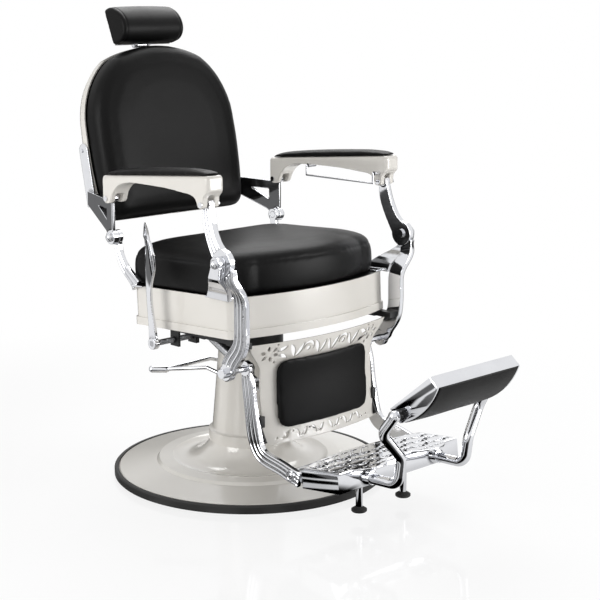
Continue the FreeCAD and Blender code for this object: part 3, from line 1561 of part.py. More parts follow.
# Flip-over leg pad
def bent_tube(points, bend, radius):
    """A round tube along straight runs with bends of one radius between them."""
    edges = []
    here = points[0]
    for before, corner, after in zip(points, points[1:], points[2:]):
        back = before.sub(corner).normalize()
        ahead = after.sub(corner).normalize()
        half_turn = (math.pi - back.getAngle(ahead)) / 2
        reach = bend * math.tan(half_turn)
        start = corner.add(Vector(back).multiply(reach))
        end = corner.add(Vector(ahead).multiply(reach))
        inward = back.add(ahead).normalize()
        middle = corner.add(inward.multiply(bend / math.cos(half_turn) - bend))
        edges += [line(here, start), arc(start, middle, end)]
        here = end
    edges.append(line(here, points[-1]))
    section = Part.Wire(Part.makeCircle(radius, points[0], points[1].sub(points[0])))
    return Part.Wire(edges).makePipeShell([section], True, False)


def flip_tube():
    """Bent tube from a socket on the platform out and up to the pad's pivot."""
    slope = math.tan(math.radians(platform_slope_deg))
    socket_z = platform_top - platform_height / 2 + (platform_rear - platform_front) * slope
    start = Vector(-socket_x, platform_front - socket_length / 2, socket_z)
    pivot = Vector(-flip_arm_x, flip_pivot_y, flip_pivot_z)
    turns = [Vector(-socket_x, flip_bend_y, flip_bend_z), Vector(-socket_x, flip_rise_y, flip_rise_z),
             Vector(-flip_hip_x, flip_hip_y, flip_hip_z)]
    return bent_tube([start] + turns + [pivot], flip_bend_radius, flip_tube_radius)


def flip_arm():
    head = x_rod(-flip_arm_x - flip_boss_radius / 2, -flip_half - flip_knob_radius - part_gap,
                 flip_pivot_y, flip_pivot_z, flip_boss_radius)
    arm = fused([flip_tube(), ball(Vector(-flip_arm_x, flip_pivot_y, flip_pivot_z), flip_boss_radius), head])
    arm = arm.cut(x_rod(-flip_half - flip_knob_radius - part_gap, 0, flip_pivot_y, flip_pivot_z,
                        flip_boss_radius + overrun))
    return arm.cut(x_rod(-flip_arm_x, 0, flip_pivot_y, flip_pivot_z, flip_pin_radius))


def flip_knobs():
    """Ribbed lock knobs with the pivot pins that pass from the tube ends into the pad."""
    outer = -flip_half - flip_knob_radius
    body = x_rod(outer, -flip_half - part_gap, flip_pivot_y, flip_pivot_z,
                 flip_knob_radius * flip_knob_body_share)
    pieces = [body]
    for index in range(flip_knob_ribs):
        turn = math.radians(360 * index / flip_knob_ribs)
        reach = flip_knob_radius * flip_knob_rib_reach_share
        pieces.append(x_rod(outer, -flip_half - part_gap, flip_pivot_y + reach * math.cos(turn),
                            flip_pivot_z + reach * math.sin(turn), flip_knob_radius * flip_knob_rib_share))
    pieces.append(x_rod(-flip_arm_x, -flip_half + 2 * flip_wall, flip_pivot_y, flip_pivot_z, flip_pin_radius))
    knob = fused(pieces)
    return [knob, mirrored(knob)]


flip_profile_shares = [(-0.29, 0.08), (0.86, 1.02), (1.07, 0.845), (0.01, -0.18)]
flip_bulge_share = (0.64, 0.19)


def flip_corners(x):
    """Section of the pad: heel, top of the flat back, front of the edge strip, toe and the face's bulge."""
    reach = flip_length * math.sqrt(0.5)
    points = [Vector(x, flip_pivot_y - reach * a, flip_pivot_z + reach * b)
              for a, b in flip_profile_shares + [flip_bulge_share]]
    return points


def flip_body(half):
    heel, top_back, top_front, toe, bulge = flip_corners(-half)
    wire = Part.Wire([line(heel, top_back), line(top_back, top_front), arc(top_front, bulge, toe),
                      line(toe, heel)])
    body = Part.Face(wire).extrude(Vector(2 * half, 0, 0))
    brink = top_front.sub(top_back)
    corners = [edge for edge in body.Edges
               if edge.BoundBox.XLength < overrun and abs(edge.Length - brink.Length) < part_gap
               and edge.BoundBox.ZMax < top_back.z + part_gap and edge.BoundBox.ZMin > top_front.z - part_gap]
    return body.makeFillet(flip_corner, corners)


def flip_space(wall):
    """Room for the upholstery inside the tray's back, top strip, bottom strip and ends."""
    half = flip_half - wall
    heel, top_back, top_front, toe = flip_corners(-half)[:4]
    along = top_back.sub(heel).normalize().multiply(wall)
    inward = top_front.sub(top_back).normalize().multiply(wall)
    low = heel.add(inward).add(along)
    high = top_back.add(inward).sub(along)
    corners = [low, high, high.add(top_front.sub(top_back).multiply(2)), low.add(toe.sub(heel).multiply(2))]
    face = Part.Face(Part.makePolygon(corners + corners[:1]))
    return face.extrude(Vector(2 * half, 0, 0))


def flip_shell():
    shell = flip_body(flip_half).cut(flip_space(flip_wall))
    bore = flip_pin_radius + running_gap
    return shell.cut(x_rod(-2 * flip_half, 2 * flip_half, flip_pivot_y, flip_pivot_z, bore))


def flip_cushion():
    pad = flip_body(flip_half).common(flip_space(flip_wall + soft_gap))
    clear = flip_pin_radius + overrun
    for side in (-1, 1):
        ends = [side * flip_half, side * (flip_half - 3 * flip_wall)]
        pad = pad.cut(x_rod(min(ends), max(ends), flip_pivot_y, flip_pivot_z, clear))
    return pad


# Recline lever, axle and the locking strut under the seat
lever_rear_shares = [(0.05, 0.0), (0.055, 0.16), (0.074, 0.36), (0.10, 0.54), (0.14, 0.69), (0.158, 0.82),
                     (0.145, 0.94), (0.10, 1.0)]
lever_front_shares = [(0.10, 1.0), (0.01, 0.93), (-0.065, 0.83), (-0.095, 0.73), (-0.065, 0.62), (0.0, 0.50),
                      (0.015, 0.36), (-0.02, 0.16), (-0.04, 0.0)]


def recline_lever():
    """Flat blade that widens to a leaf-shaped paddle; its points are shares of the blade's height."""
    edges = []
    for shares in (lever_rear_shares, lever_front_shares):
        edges.append(curve([Vector(0, lever_axle_y + a * lever_height, lever_axle_z + b * lever_height)
                            for a, b in shares]))
    foot = [Vector(0, lever_axle_y + a[0] * lever_height, lever_axle_z + a[1] * lever_height)
            for a in (lever_front_shares[-1], lever_rear_shares[0])]
    edges.append(line(foot[0], foot[1]))
    blade = Part.Face(Part.Wire(edges)).extrude(Vector(lever_thick, 0, 0))
    blade.translate(Vector(-lever_x - lever_thick / 2, 0, 0))
    boss = x_rod(-lever_x - lever_thick, -lever_x + lever_thick, lever_axle_y, lever_axle_z,
                 lever_boss_share * lever_axle_half)
    lever = fused([blade, boss])
    return lever.cut(axle_bar(lever_x + lever_thick + overrun))


def axle_bar(end):
    half = lever_axle_half
    return block(-end, -lever_axle_end, lever_axle_y - half, lever_axle_y + half, lever_axle_z - half,
                 lever_axle_z + half)


def recline_axle():
    bar = axle_bar(lever_x + lever_thick)
    finger = block(-strut_x - cam_width / 2, -strut_x + cam_width / 2, lever_axle_y - lever_axle_half,
                   lever_axle_y, lever_axle_z, lever_axle_z + cam_length)
    return fused([bar, finger])


def strut_line():
    anchor = Vector(-strut_x, strut_anchor_y, strut_anchor_z)
    grip = Vector(-strut_x, crossbar_y, crossbar_z)
    return anchor, grip, grip.sub(anchor).normalize()


def strut_cylinder():
    anchor, _, way = strut_line()
    eye = x_rod(-strut_x - strut_eye_half, -strut_x + strut_eye_half, strut_anchor_y, strut_anchor_z,
                strut_eye_radius)
    start = anchor.add(Vector(way).multiply(strut_cylinder_start))
    neck = rod(anchor, start, strut_rod_radius)
    body = Part.makeCylinder(strut_cylinder_radius, strut_cylinder_length, start, way)
    end = start.add(Vector(way).multiply(strut_cylinder_length))
    bore = rod(start.add(Vector(way).multiply(strut_rod_radius)), end.add(Vector(way).multiply(overrun)),
               strut_rod_radius + running_gap)
    cylinder = fused([eye, neck, body]).cut(bore)
    return cylinder.cut(x_rod(-2 * strut_x, 0, strut_anchor_y, strut_anchor_z, strut_pin_radius + running_gap))


def strut_rod():
    anchor, grip, way = strut_line()
    ahead = strut_cylinder_start + strut_cylinder_length * strut_rod_start_share
    start = anchor.add(Vector(way).multiply(ahead))
    eye = x_rod(-strut_x - strut_eye_half, -strut_x + strut_eye_half, crossbar_y, crossbar_z,
                strut_grip_radius)
    rod_body = fused([rod(start, grip, strut_rod_radius), eye])
    return rod_body.cut(x_rod(-2 * strut_x, 0, crossbar_y, crossbar_z, crossbar_radius + strut_grip_gap))


# Nodes
save("base_ring", base_ring())
save("base_plate", base_plate())
save("column_cover", column_cover())
save("pump_cylinder", pump_cylinder())
save("ram_guide_bush", ram_guide_bush())
save("pump_shaft", pump_shaft())
save("pump_lever", pump_lever())
save("ram_piston", ram())
save("swivel_washer", swivel_washer())
save("seat_mount", seat_mount())
save("seat_frame", seat_frame())
save("seat_skirt", seat_skirt())
save("seat_board", seat_board())
save("seat_cushion", seat_cushion())
save_pair("front_leg", front_leg())
save_pair("front_link", front_link())
save_pair("front_bracket", front_bracket())
save("front_knuckle_pins", front_knuckle_pins())
save("knee_pins", knee_pins())
save_pair("rear_support", rear_support())
save("rear_knuckle_pins", rear_knuckle_pins())
save_pair("armrest", armrest())
save("arm_pins_right", arm_pins())
save("arm_pins_left", [mirrored(pin) for pin in arm_pins()])
save_pair("arm_pad", arm_pad())
save("towel_rail", towel_rail())
save_pair("back_bracket", back_bracket())
save("back_screws", strap_screws())
save("back_shell", back_shell())
save("back_board", back_board())
save("back_cushion", back_cushion())
save("headrest_post", head_post())
save("headrest_plate", head_plate())
save("headrest_cushion", head_cushion())
save_pair("side_arm", side_arm())
save("calf_bars", [strut_bar(), mirrored(strut_bar())])
save("leg_crossbar", leg_crossbar())
save("calf_plate", calf_plate())
save("calf_pad", calf_pad())
save("platform_frame", platform_frame())
save("tread_plate", tread_plate())
save("foot_stems", foot_stems())
save("foot_cups", foot_cups())
save_pair("flip_arm", flip_arm())
save("flip_knobs", flip_knobs())
save("flip_shell", flip_shell())
save("flip_cushion", flip_cushion())
save("recline_lever", recline_lever())
save("recline_axle", recline_axle())
save("strut_cylinder", strut_cylinder())
save("strut_rod", strut_rod())
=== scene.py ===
# %% [markdown]
# # A reclining barber chair
# This lesson dresses a finished metal frame of a barber chair: leather cushions, polished castings and
# enamelled panels. The frame comes from a solid model, so every new piece is laid over a solid that
# already has the right place and size.

# %% Load the solid model
import json
import math

import bpy
import numpy as np
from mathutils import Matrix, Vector


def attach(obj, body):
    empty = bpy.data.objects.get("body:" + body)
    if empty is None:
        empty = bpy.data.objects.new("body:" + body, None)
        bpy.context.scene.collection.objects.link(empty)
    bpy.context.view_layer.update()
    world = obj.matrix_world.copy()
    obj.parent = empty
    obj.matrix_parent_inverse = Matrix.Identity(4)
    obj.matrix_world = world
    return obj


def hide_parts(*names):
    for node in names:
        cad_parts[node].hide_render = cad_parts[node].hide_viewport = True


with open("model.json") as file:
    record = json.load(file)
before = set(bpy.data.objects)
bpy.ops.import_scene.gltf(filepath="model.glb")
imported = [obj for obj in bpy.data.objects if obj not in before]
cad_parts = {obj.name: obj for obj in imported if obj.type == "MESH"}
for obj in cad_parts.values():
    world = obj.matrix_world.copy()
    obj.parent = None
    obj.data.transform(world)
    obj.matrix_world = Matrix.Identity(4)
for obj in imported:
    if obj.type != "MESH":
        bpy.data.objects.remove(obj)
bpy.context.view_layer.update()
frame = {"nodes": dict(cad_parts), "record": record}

# %% [markdown]
# ## The camera
# The photo was taken from the sitter's front right, a little above the seat, with a long lens. The place
# was worked out from the round base, whose width is known, and from the chair's upright lines. Setting it
# first means that every piece can be checked against the photo as soon as it is made.

# %% Place the camera
camera_place = (-2.3981, -2.6674, 1.1887)
camera_turn = (math.radians(78.107), 0, math.radians(-43.96))
camera_lens, camera_film = 89.16, 36

camera = bpy.data.objects.new("camera", bpy.data.cameras.new("camera"))
bpy.context.scene.collection.objects.link(camera)
camera.location = camera_place
camera.rotation_euler = camera_turn
camera.data.lens = camera_lens
camera.data.sensor_width = camera_film
bpy.context.scene.camera = camera
print("camera at", camera_place, "with a", camera_lens, "mm lens")

# %% [markdown]
# ## Writing materials as sums
# A finish is made of many small nodes. Placing each by hand is slow to read, so one class wraps a socket
# and turns ordinary arithmetic on it into Math nodes, and one method adds every other kind of node. A
# line such as `0.4 + grain * 0.1` then builds its own nodes.

# %% A socket that can be added and multiplied
class Value:
    """One output socket of a finish, on which sums add Math nodes."""

    def __init__(self, finish, socket):
        self.finish = finish
        self.socket = socket

    def sum(self, operation, *values):
        inputs = dict(enumerate(values))
        return self.finish.node("ShaderNodeMath", {"operation": operation}, inputs)

    def __add__(self, other):
        return self.sum("ADD", self, other)

    __radd__ = __add__

    def __sub__(self, other):
        return self.sum("SUBTRACT", self, other)

    def __rsub__(self, other):
        return self.sum("SUBTRACT", other, self)

    def __mul__(self, other):
        return self.sum("MULTIPLY", self, other)

    def __pow__(self, other):
        return self.sum("POWER", self, other)

    def clamp(self):
        return self.finish.node("ShaderNodeClamp", {}, {0: self})


print("sums ready")

# %% A finish that grows node by node
class Finish:
    """A material or world tree that grows one node at a time."""

    def __init__(self, name, holder=None):
        self.holder = holder or bpy.data.materials.new(name)
        self.holder.use_nodes = True
        self.tree = self.holder.node_tree
        self.tree.nodes.clear()

    def node(self, kind, settings, inputs, output=0):
        """Adds a node, sets it up, fills its sockets, and returns one of its outputs."""
        made = self.tree.nodes.new(kind)
        for key, value in settings.items():
            setattr(made, key, value)
        for key, value in inputs.items():
            if isinstance(value, Value):
                self.tree.links.new(value.socket, made.inputs[key])
            else:
                made.inputs[key].default_value = value
        return Value(self, made.outputs[output]) if made.outputs else None

    def place(self, stretch=(1.0, 1.0, 1.0)):
        """The piece's own coordinates in metres, which stay with it when it moves."""
        point = self.node("ShaderNodeTexCoord", {}, {}, "Object")
        return self.node("ShaderNodeMapping", {}, {"Vector": point, "Scale": stretch})

    def noise(self, scale, detail=2.0, roughness=0.5, stretch=(1.0, 1.0, 1.0)):
        return self.node("ShaderNodeTexNoise", {}, {"Vector": self.place(stretch), "Scale": scale,
                                                    "Detail": detail, "Roughness": roughness})

    def cells(self, scale, feature):
        where = self.place()
        return self.node("ShaderNodeTexVoronoi", {"feature": feature}, {"Vector": where, "Scale": scale})

    def fade(self, value, start, end, first, last):
        """Goes softly from the first to the last number while the value goes from start to end."""
        return self.node("ShaderNodeMapRange", {"interpolation_type": "SMOOTHSTEP"},
                         {0: value, 1: start, 2: end, 3: first, 4: last})

    def mix(self, amount, first, second):
        return self.node("ShaderNodeMix", {"data_type": "RGBA"}, {0: amount, 6: first, 7: second}, 2)

    def bump(self, height, strength, distance):
        return self.node("ShaderNodeBump", {}, {"Height": height, "Strength": strength,
                                                "Distance": distance})

    def surface(self, **sockets):
        """Ends the material with a Principled shader."""
        named = {key.replace("_", " "): value for key, value in sockets.items()}
        shader = self.node("ShaderNodeBsdfPrincipled", {}, named)
        self.node("ShaderNodeOutputMaterial", {}, {"Surface": shader})
        return self.holder


def shade(red, green, blue):
    """A colour as a paint chart gives it, from 0 to 255, turned into the light values that nodes use."""
    def light(part):
        """The curve that screens use: a short straight foot, and a power above it."""
        part = part / 255
        return part / 12.92 if part <= 0.04045 else ((part + 0.055) / 1.055) ** 2.4
    return (light(red), light(green), light(blue), 1.0)


print("material helpers ready")

# %% [markdown]
# ## Floor, background and light
# The chair stands in a white studio. The floor is a plain pale sheet that keeps the soft shadow and a
# faint mirror image. What the camera and the chrome see as white comes from the Light Path, so the
# lamps need not be so strong that the enamel turns into a flat white shape. Chrome needs something dark
# to mirror, so soft dark screens stand around the studio. Only mirrored rays see them.

# %% Floor
floor_size = 60
floor_grey, floor_roughness, floor_shine = 0.92, 0.07, 0.9
shadow_reach, shadow_fade, shadow_white = 0.80, 2.2, 0.80
# Where the floor's painted shade near the chair starts and ends, and how deep it is. Only mirrored rays see
# it.
painted_shade_start, painted_shade_end, painted_shade_depth = 0.3, 1.2, 0.38
streak_share = 0.9
pure_white = (1, 1, 1, 1)
# Each screen has its direction from the chair, its width, and how dark it is.
screens = [((1.0, -0.25), 0.10, 0.97), ((-0.95, 0.20), 0.055, 0.96), ((0.35, 1.0), 0.10, 0.94),
           ((-0.25, -1.0), 0.040, 0.94), ((-0.8, -0.9), 0.006, 0.80), ((-1.0, -0.40), 0.014, 0.85),
           ((-0.2, 1.0), 0.035, 0.92)]
low_screen = ((0.68, 0.73), 0.05, 0.92)
screen_core = 0.35


def flag(finish, looking, direction, width, depth):
    """A soft dark screen at one side of the studio, which draws the dark streaks in the chrome."""
    length = math.hypot(*direction)
    towards = (direction[0] / length, direction[1] / length, 0)
    facing = finish.node("ShaderNodeVectorMath", {"operation": "DOT_PRODUCT"},
                         {0: looking, 1: towards}, "Value")
    return finish.fade(facing, 1 - width, 1 - width * screen_core, 0.0, depth)


def pick_none():
    if bpy.context.object and bpy.context.object.mode != "OBJECT":
        bpy.ops.object.mode_set(mode="OBJECT")
    bpy.ops.object.select_all(action="DESELECT")


pick_none()
bpy.ops.mesh.primitive_plane_add(size=floor_size, location=(0, 0, 0))
floor = bpy.context.object
floor.name = "studio_floor"
sheet = Finish("pale_floor")
seen = sheet.node("ShaderNodeLightPath", {}, {}, "Is Camera Ray")
mirrored = sheet.node("ShaderNodeLightPath", {}, {}, "Is Glossy Ray")
plain = sheet.node("ShaderNodeBsdfPrincipled", {}, {"Base Color": (floor_grey, floor_grey, floor_grey, 1),
                                                   "Roughness": floor_roughness,
                                                   "Specular IOR Level": floor_shine})
spot = sheet.node("ShaderNodeTexCoord", {}, {}, "Object")
way_out = sheet.node("ShaderNodeVectorMath", {"operation": "NORMALIZE"}, {0: spot}, "Vector")
streaks = flag(sheet, way_out, *low_screen)
for screen in screens:
    streaks = streaks + flag(sheet, way_out, *screen)
away = sheet.node("ShaderNodeVectorMath", {"operation": "LENGTH"}, {0: spot}, "Value")
far_off = sheet.fade(away, shadow_reach, shadow_reach * shadow_fade, shadow_white, 1.0)
# Painted shade: in the chrome's mirror image, the floor's glow is darker near the chair.
painted_near_shade = sheet.fade(away, painted_shade_start, painted_shade_end, painted_shade_depth, 0.0)
screens_and_painted_shade = (streaks * streak_share + painted_near_shade).clamp()
glow = sheet.node("ShaderNodeEmission", {}, {"Color": pure_white, "Strength": 1 - mirrored * screens_and_painted_shade})
whiteness = (seen * far_off + mirrored).clamp()
both = sheet.node("ShaderNodeMixShader", {}, {0: whiteness, 1: plain, 2: glow})
sheet.node("ShaderNodeOutputMaterial", {}, {"Surface": both})
floor.data.materials.append(sheet.holder)
print("floor laid,", len(screens) + 1, "screens in its mirror image")

# %% Background
fill_strength = 0.34
screen_top, screen_full = 0.80, 0.45

world = bpy.data.worlds.new("studio")
bpy.context.scene.world = world
studio = Finish("studio", world)
looking = studio.node("ShaderNodeTexCoord", {}, {}, "Generated")
upward = studio.node("ShaderNodeSeparateXYZ", {}, {0: looking}, "Z")
camera_sees = studio.node("ShaderNodeLightPath", {}, {}, "Is Camera Ray")
glossy_sees = studio.node("ShaderNodeLightPath", {}, {}, "Is Glossy Ray")


def backdrop(strength):
    """White all around, at a strength."""
    return studio.node("ShaderNodeBackground", {}, {"Color": pure_white, "Strength": strength})


dark = flag(studio, looking, *screens[0])
for screen in screens[1:]:
    dark = dark + flag(studio, looking, *screen)
low_only = studio.fade(upward, screen_top, screen_full, 0.0, 1.0)
reflected = backdrop((1 - (dark * low_only)).clamp())
lit = studio.node("ShaderNodeMixShader", {}, {0: glossy_sees, 1: backdrop(fill_strength), 2: reflected})
shown = studio.node("ShaderNodeMixShader", {}, {0: camera_sees, 1: lit, 2: backdrop(1.0)})
studio.node("ShaderNodeOutputWorld", {}, {"Surface": shown})
print("background set,", len(screens), "screens")

# %% Lamps
def lamp(name, place, target, size, power):
    """A soft box: a rectangular area lamp that points at a target."""
    data = bpy.data.lights.new(name, "AREA")
    data.shape = "RECTANGLE"
    data.size, data.size_y = size
    data.energy = power
    soft_box = bpy.data.objects.new(name, data)
    bpy.context.scene.collection.objects.link(soft_box)
    soft_box.location = place
    soft_box.rotation_euler = (Vector(target) - Vector(place)).to_track_quat("-Z", "Y").to_euler()


lamp("key_box", place=(-3.4, 0.2, 1.4), target=(0, 0, 0.6), size=(1.8, 2.2), power=68)
lamp("top_box", place=(1.3, 1.1, 2.8), target=(0, 0, 0.5), size=(2.2, 2.2), power=60)
lamp("fill_box", place=(2.0, -3.2, 1.0), target=(0, 0, 0.6), size=(1.6, 1.8), power=82)
bpy.context.scene.view_settings.view_transform = "Standard"
print("lamps on:", ", ".join(light.name for light in bpy.data.lights))

# %% [markdown]
# ## The finishes
# Seven finishes cover the chair: warm cream enamel, bright chrome, black leather, black rubber, black
# iron, bare steel and satin aluminium. Each gets small changes in colour, gloss and height, because a
# perfectly even surface is what makes a model look like plastic.

# %% Cream enamel
def cream_enamel():
    """Thick paint under a clear coat, with the fine orange peel that a spray gun leaves."""
    paint = Finish("cream_enamel")
    cloud = paint.noise(7.0, detail=3.0)
    peel = paint.noise(420.0)
    colour = paint.mix(cloud, shade(222, 219, 213), shade(214, 210, 203))
    gloss = 0.13 + paint.noise(35.0, detail=4.0) * 0.10
    return paint.surface(Base_Color=colour, Roughness=gloss, Coat_Weight=0.6, Coat_Roughness=0.06,
                         Specular_IOR_Level=0.5, Normal=paint.bump(peel, strength=0.06, distance=0.0004))


print("enamel ready")

# %% Bright chrome
# How far the painted groove shade reaches, and how sharply it sets in.
groove_shade_reach, groove_shade_power = 0.008, 2.4


def chrome():
    """Bright plating with faint smears, and painted shade in narrow grooves, where the plating would mirror
    only itself.
    """
    plate = Finish("chrome")
    smear = plate.noise(22.0, detail=5.0, roughness=0.65)
    fine = plate.noise(900.0)
    bright = plate.mix(smear, shade(232, 233, 236), shade(218, 219, 223))
    groove_openness = plate.node("ShaderNodeAmbientOcclusion", {"samples": 8, "only_local": True},
                          {"Distance": groove_shade_reach}, "AO")
    # Painted shade: the colour goes towards near black where the grooves close in.
    colour = plate.mix(groove_openness ** groove_shade_power, shade(40, 42, 46), bright)
    gloss = 0.035 + smear * 0.05
    return plate.surface(Base_Color=colour, Metallic=1.0, Roughness=gloss,
                         Normal=plate.bump(fine, strength=0.03, distance=0.0002))


print("chrome ready")

# %% Black leather
pore_edge = 0.28


def black_leather():
    """Smooth black leather: small cells with darker lines between them, over long soft wrinkles."""
    hide = Finish("black_upholstery")
    pores = hide.cells(1150.0, "DISTANCE_TO_EDGE")
    wrinkle = hide.noise(260.0, detail=4.0, roughness=0.6)
    patch = hide.noise(9.0, detail=3.0)
    grain = hide.node("ShaderNodeMapRange", {}, {0: pores, 1: 0.0, 2: pore_edge, 3: 0.0, 4: 1.0})
    colour = hide.mix(patch, shade(10, 10, 11), shade(16, 15, 15))
    worn = hide.mix(grain, shade(8, 8, 8), colour)
    gloss = 0.40 + patch * 0.08 - grain * 0.05
    height = grain * 0.6 + wrinkle * 0.4
    return hide.surface(Base_Color=worn, Roughness=gloss, Specular_IOR_Level=0.13,
                        Normal=hide.bump(height, strength=0.22, distance=0.0003))


print("leather ready")

# %% Rubber, iron, steel and aluminium
def black_rubber():
    rubber = Finish("black_rubber")
    dust = rubber.noise(60.0, detail=4.0)
    grit = rubber.noise(1500.0)
    return rubber.surface(Base_Color=rubber.mix(dust, shade(26, 26, 26), shade(38, 37, 36)),
                          Roughness=0.62 + dust * 0.15,
                          Normal=rubber.bump(grit, strength=0.2, distance=0.0003))


def black_iron():
    iron = Finish("black_iron")
    grain = iron.noise(700.0, detail=3.0)
    cloud = iron.noise(30.0, detail=3.0)
    return iron.surface(Base_Color=iron.mix(cloud, shade(28, 28, 29), shade(40, 40, 41)), Metallic=0.3,
                        Roughness=0.40 + cloud * 0.12,
                        Normal=iron.bump(grain, strength=0.25, distance=0.0004))


def machined_steel():
    steel = Finish("machined_steel")
    lines = steel.noise(60.0, detail=3.0, stretch=(1.0, 1.0, 30.0))
    return steel.surface(Base_Color=steel.mix(lines, shade(170, 171, 174), shade(190, 191, 194)),
                         Metallic=1.0, Roughness=0.22 + lines * 0.12,
                         Normal=steel.bump(lines, strength=0.1, distance=0.0002))


def satin_aluminium():
    metal = Finish("satin_aluminium")
    cloud = metal.noise(25.0, detail=4.0)
    fine = metal.noise(1200.0)
    return metal.surface(Base_Color=metal.mix(cloud, shade(200, 201, 204), shade(182, 183, 187)),
                         Metallic=1.0, Roughness=0.26 + cloud * 0.10,
                         Normal=metal.bump(fine, strength=0.08, distance=0.0002))


finishes = {
    "cream_enamel": cream_enamel(),
    "chrome": chrome(),
    "black_upholstery": black_leather(),
    "black_rubber": black_rubber(),
    "black_iron": black_iron(),
    "machined_steel": machined_steel(),
    "satin_aluminium": satin_aluminium(),
}
print("finishes:", ", ".join(finishes))

# %% [markdown]
# ## From a solid to a piece
# Every new piece starts as a copy of its solid, so it is in the right place from the start. The copy's
# triangles are loose, so they are merged first. A piece then rides on its body, hides the solid it
# stands for and takes its finish, always in the same way, so one helper does that. The two boards are
# plywood under the cushions' cover, so they take the cushions' finish.

# %% Copy, shape and dress
merge_reach = 0.00002
behaviour = frame["record"]["behaviour"]
body_of = {node: body for body, nodes in behaviour["bodies"].items() for node in nodes}
slot_of = {part["node"]: part["material_slot"] for part in frame["record"]["subparts"]}


def solid_copy(node, name):
    """A closed copy of a solid's mesh, selected and active."""
    pick_none()
    piece = bpy.data.objects.new(name, frame["nodes"][node].data.copy())
    bpy.context.scene.collection.objects.link(piece)
    piece.select_set(True)
    bpy.context.view_layer.objects.active = piece
    piece.data.materials.clear()
    bpy.ops.mesh.customdata_custom_splitnormals_clear()
    bpy.ops.object.mode_set(mode="EDIT")
    bpy.ops.mesh.select_all(action="SELECT")
    bpy.ops.mesh.remove_doubles(threshold=merge_reach)
    bpy.ops.object.mode_set(mode="OBJECT")
    return piece


def shaped(piece, kind, **settings):
    """Adds one modifier and applies it at once."""
    modifier = piece.modifiers.new(kind.lower(), kind)
    for key, value in settings.items():
        setattr(modifier, key, value)
    bpy.context.view_layer.objects.active = piece
    bpy.ops.object.modifier_apply(modifier=modifier.name)
    return piece


def dressed(piece, node):
    """Puts the piece in the solid's place, on its body and in its finish."""
    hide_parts(node)
    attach(piece, body_of[node])
    piece.data.materials.clear()
    piece.data.materials.append(finishes[slot_of[node]])
    return piece


def points_of(piece):
    """The points of a piece, as rows of three numbers."""
    rows = np.empty(len(piece.data.vertices) * 3)
    piece.data.vertices.foreach_get("co", rows)
    return rows.reshape(-1, 3)


def normals_of(piece):
    """The way that the skin faces at each point, as rows of three numbers."""
    rows = np.empty(len(piece.data.vertices) * 3)
    piece.data.vertex_normals.foreach_get("vector", rows)
    return rows.reshape(-1, 3)


def put_points(piece, rows):
    piece.data.vertices.foreach_set("co", rows.ravel())
    piece.data.update()


print("bodies with solids:", len(set(body_of.values())))

# %% [markdown]
# ## The cast armrests
# The real arms are iron castings under thick cream enamel, so no edge is sharp: the fork ends flow into
# the bar. A voxel remesh gives the copy one even skin of small squares, and a few rounds of smoothing then
# melt every edge by the same two or three millimetres, as a casting mould and thick paint do.

# %% Armrests
arm_voxel, arm_rounds = 0.0016, 7


def even_skin(node, name, voxel, rounds):
    """A copy of a solid with an even skin, whose edges are melted by a few rounds of smoothing."""
    piece = solid_copy(node, name)
    shaped(piece, "REMESH", mode="VOXEL", voxel_size=voxel, use_smooth_shade=True)
    return shaped(piece, "SMOOTH", factor=0.5, iterations=rounds)


def cast(node, name, voxel, rounds):
    """A casting with an even skin, in its solid's place."""
    piece = dressed(even_skin(node, name, voxel, rounds), node)
    print(piece.name, len(piece.data.polygons), "faces")
    return piece


for side in ("right", "left"):
    cast("armrest_" + side, "cast_arm_" + side, arm_voxel, arm_rounds)

# %% [markdown]
# ## Polished castings
# The chrome legs, links and brackets are castings too, so they get the same even skin as the armrests, with
# smaller squares and fewer rounds, and their flutes stay crisp. Straight pressed parts, such as the
# platform's frame, keep their flat faces instead. Those are joined by a limited dissolve and every sharp
# edge gets a narrow bevel, because a polished edge always shows one bright line.

# %% Fluted castings
# Each has the size of its squares and its rounds of smoothing.
castings = {"front_leg": (0.0012, 3), "front_link": (0.0010, 4), "front_bracket": (0.0010, 4),
            "rear_support": (0.0012, 3), "back_bracket": (0.0011, 3), "side_arm": (0.0012, 3),
            "flip_arm": (0.0012, 3)}
for node, (voxel, rounds) in castings.items():
    for side in ("right", "left"):
        cast(node + "_" + side, "cast_" + node + "_" + side, voxel, rounds)

# %% Pressed parts with bevelled edges
flat_angle, sharp_angle = math.radians(0.6), math.radians(32)
# The width of each part's bevel.
bevels = {"platform_frame": 0.0012, "flip_shell": 0.0011, "headrest_plate": 0.0008,
          "leg_crossbar": 0.0008, "calf_bars": 0.0008, "flip_knobs": 0.0006}


def polished(node, edge):
    """A copy of a solid whose sharp edges are rounded and whose curved faces are smooth."""
    piece = solid_copy(node, "polished_" + node)
    bpy.ops.object.mode_set(mode="EDIT")
    bpy.ops.mesh.select_all(action="SELECT")
    bpy.ops.mesh.dissolve_limited(angle_limit=flat_angle)
    bpy.ops.object.mode_set(mode="OBJECT")
    shaped(piece, "BEVEL", width=edge, segments=2, limit_method="ANGLE", angle_limit=sharp_angle,
           miter_outer="MITER_ARC", harden_normals=False)
    bpy.ops.object.shade_smooth_by_angle(angle=sharp_angle)
    return dressed(piece, node)


for node, edge in bevels.items():
    polished(node, edge)
print("bevelled parts:", len(bevels))

# %% [markdown]
# ## The two levers
# The recline lever is one long chromed casting. Its blade twists on the way up, so that the broad paddle
# at its top faces the hand, and the paddle's outer side is slightly hollow. The twist is easiest to make
# on the finished skin: every slice is turned about its own middle, a little more the higher it lies.

# %% Recline lever and foot pedal
slice_count, slice_half = 30, 0.03
paddle_half, outer_side = 0.024, -0.6


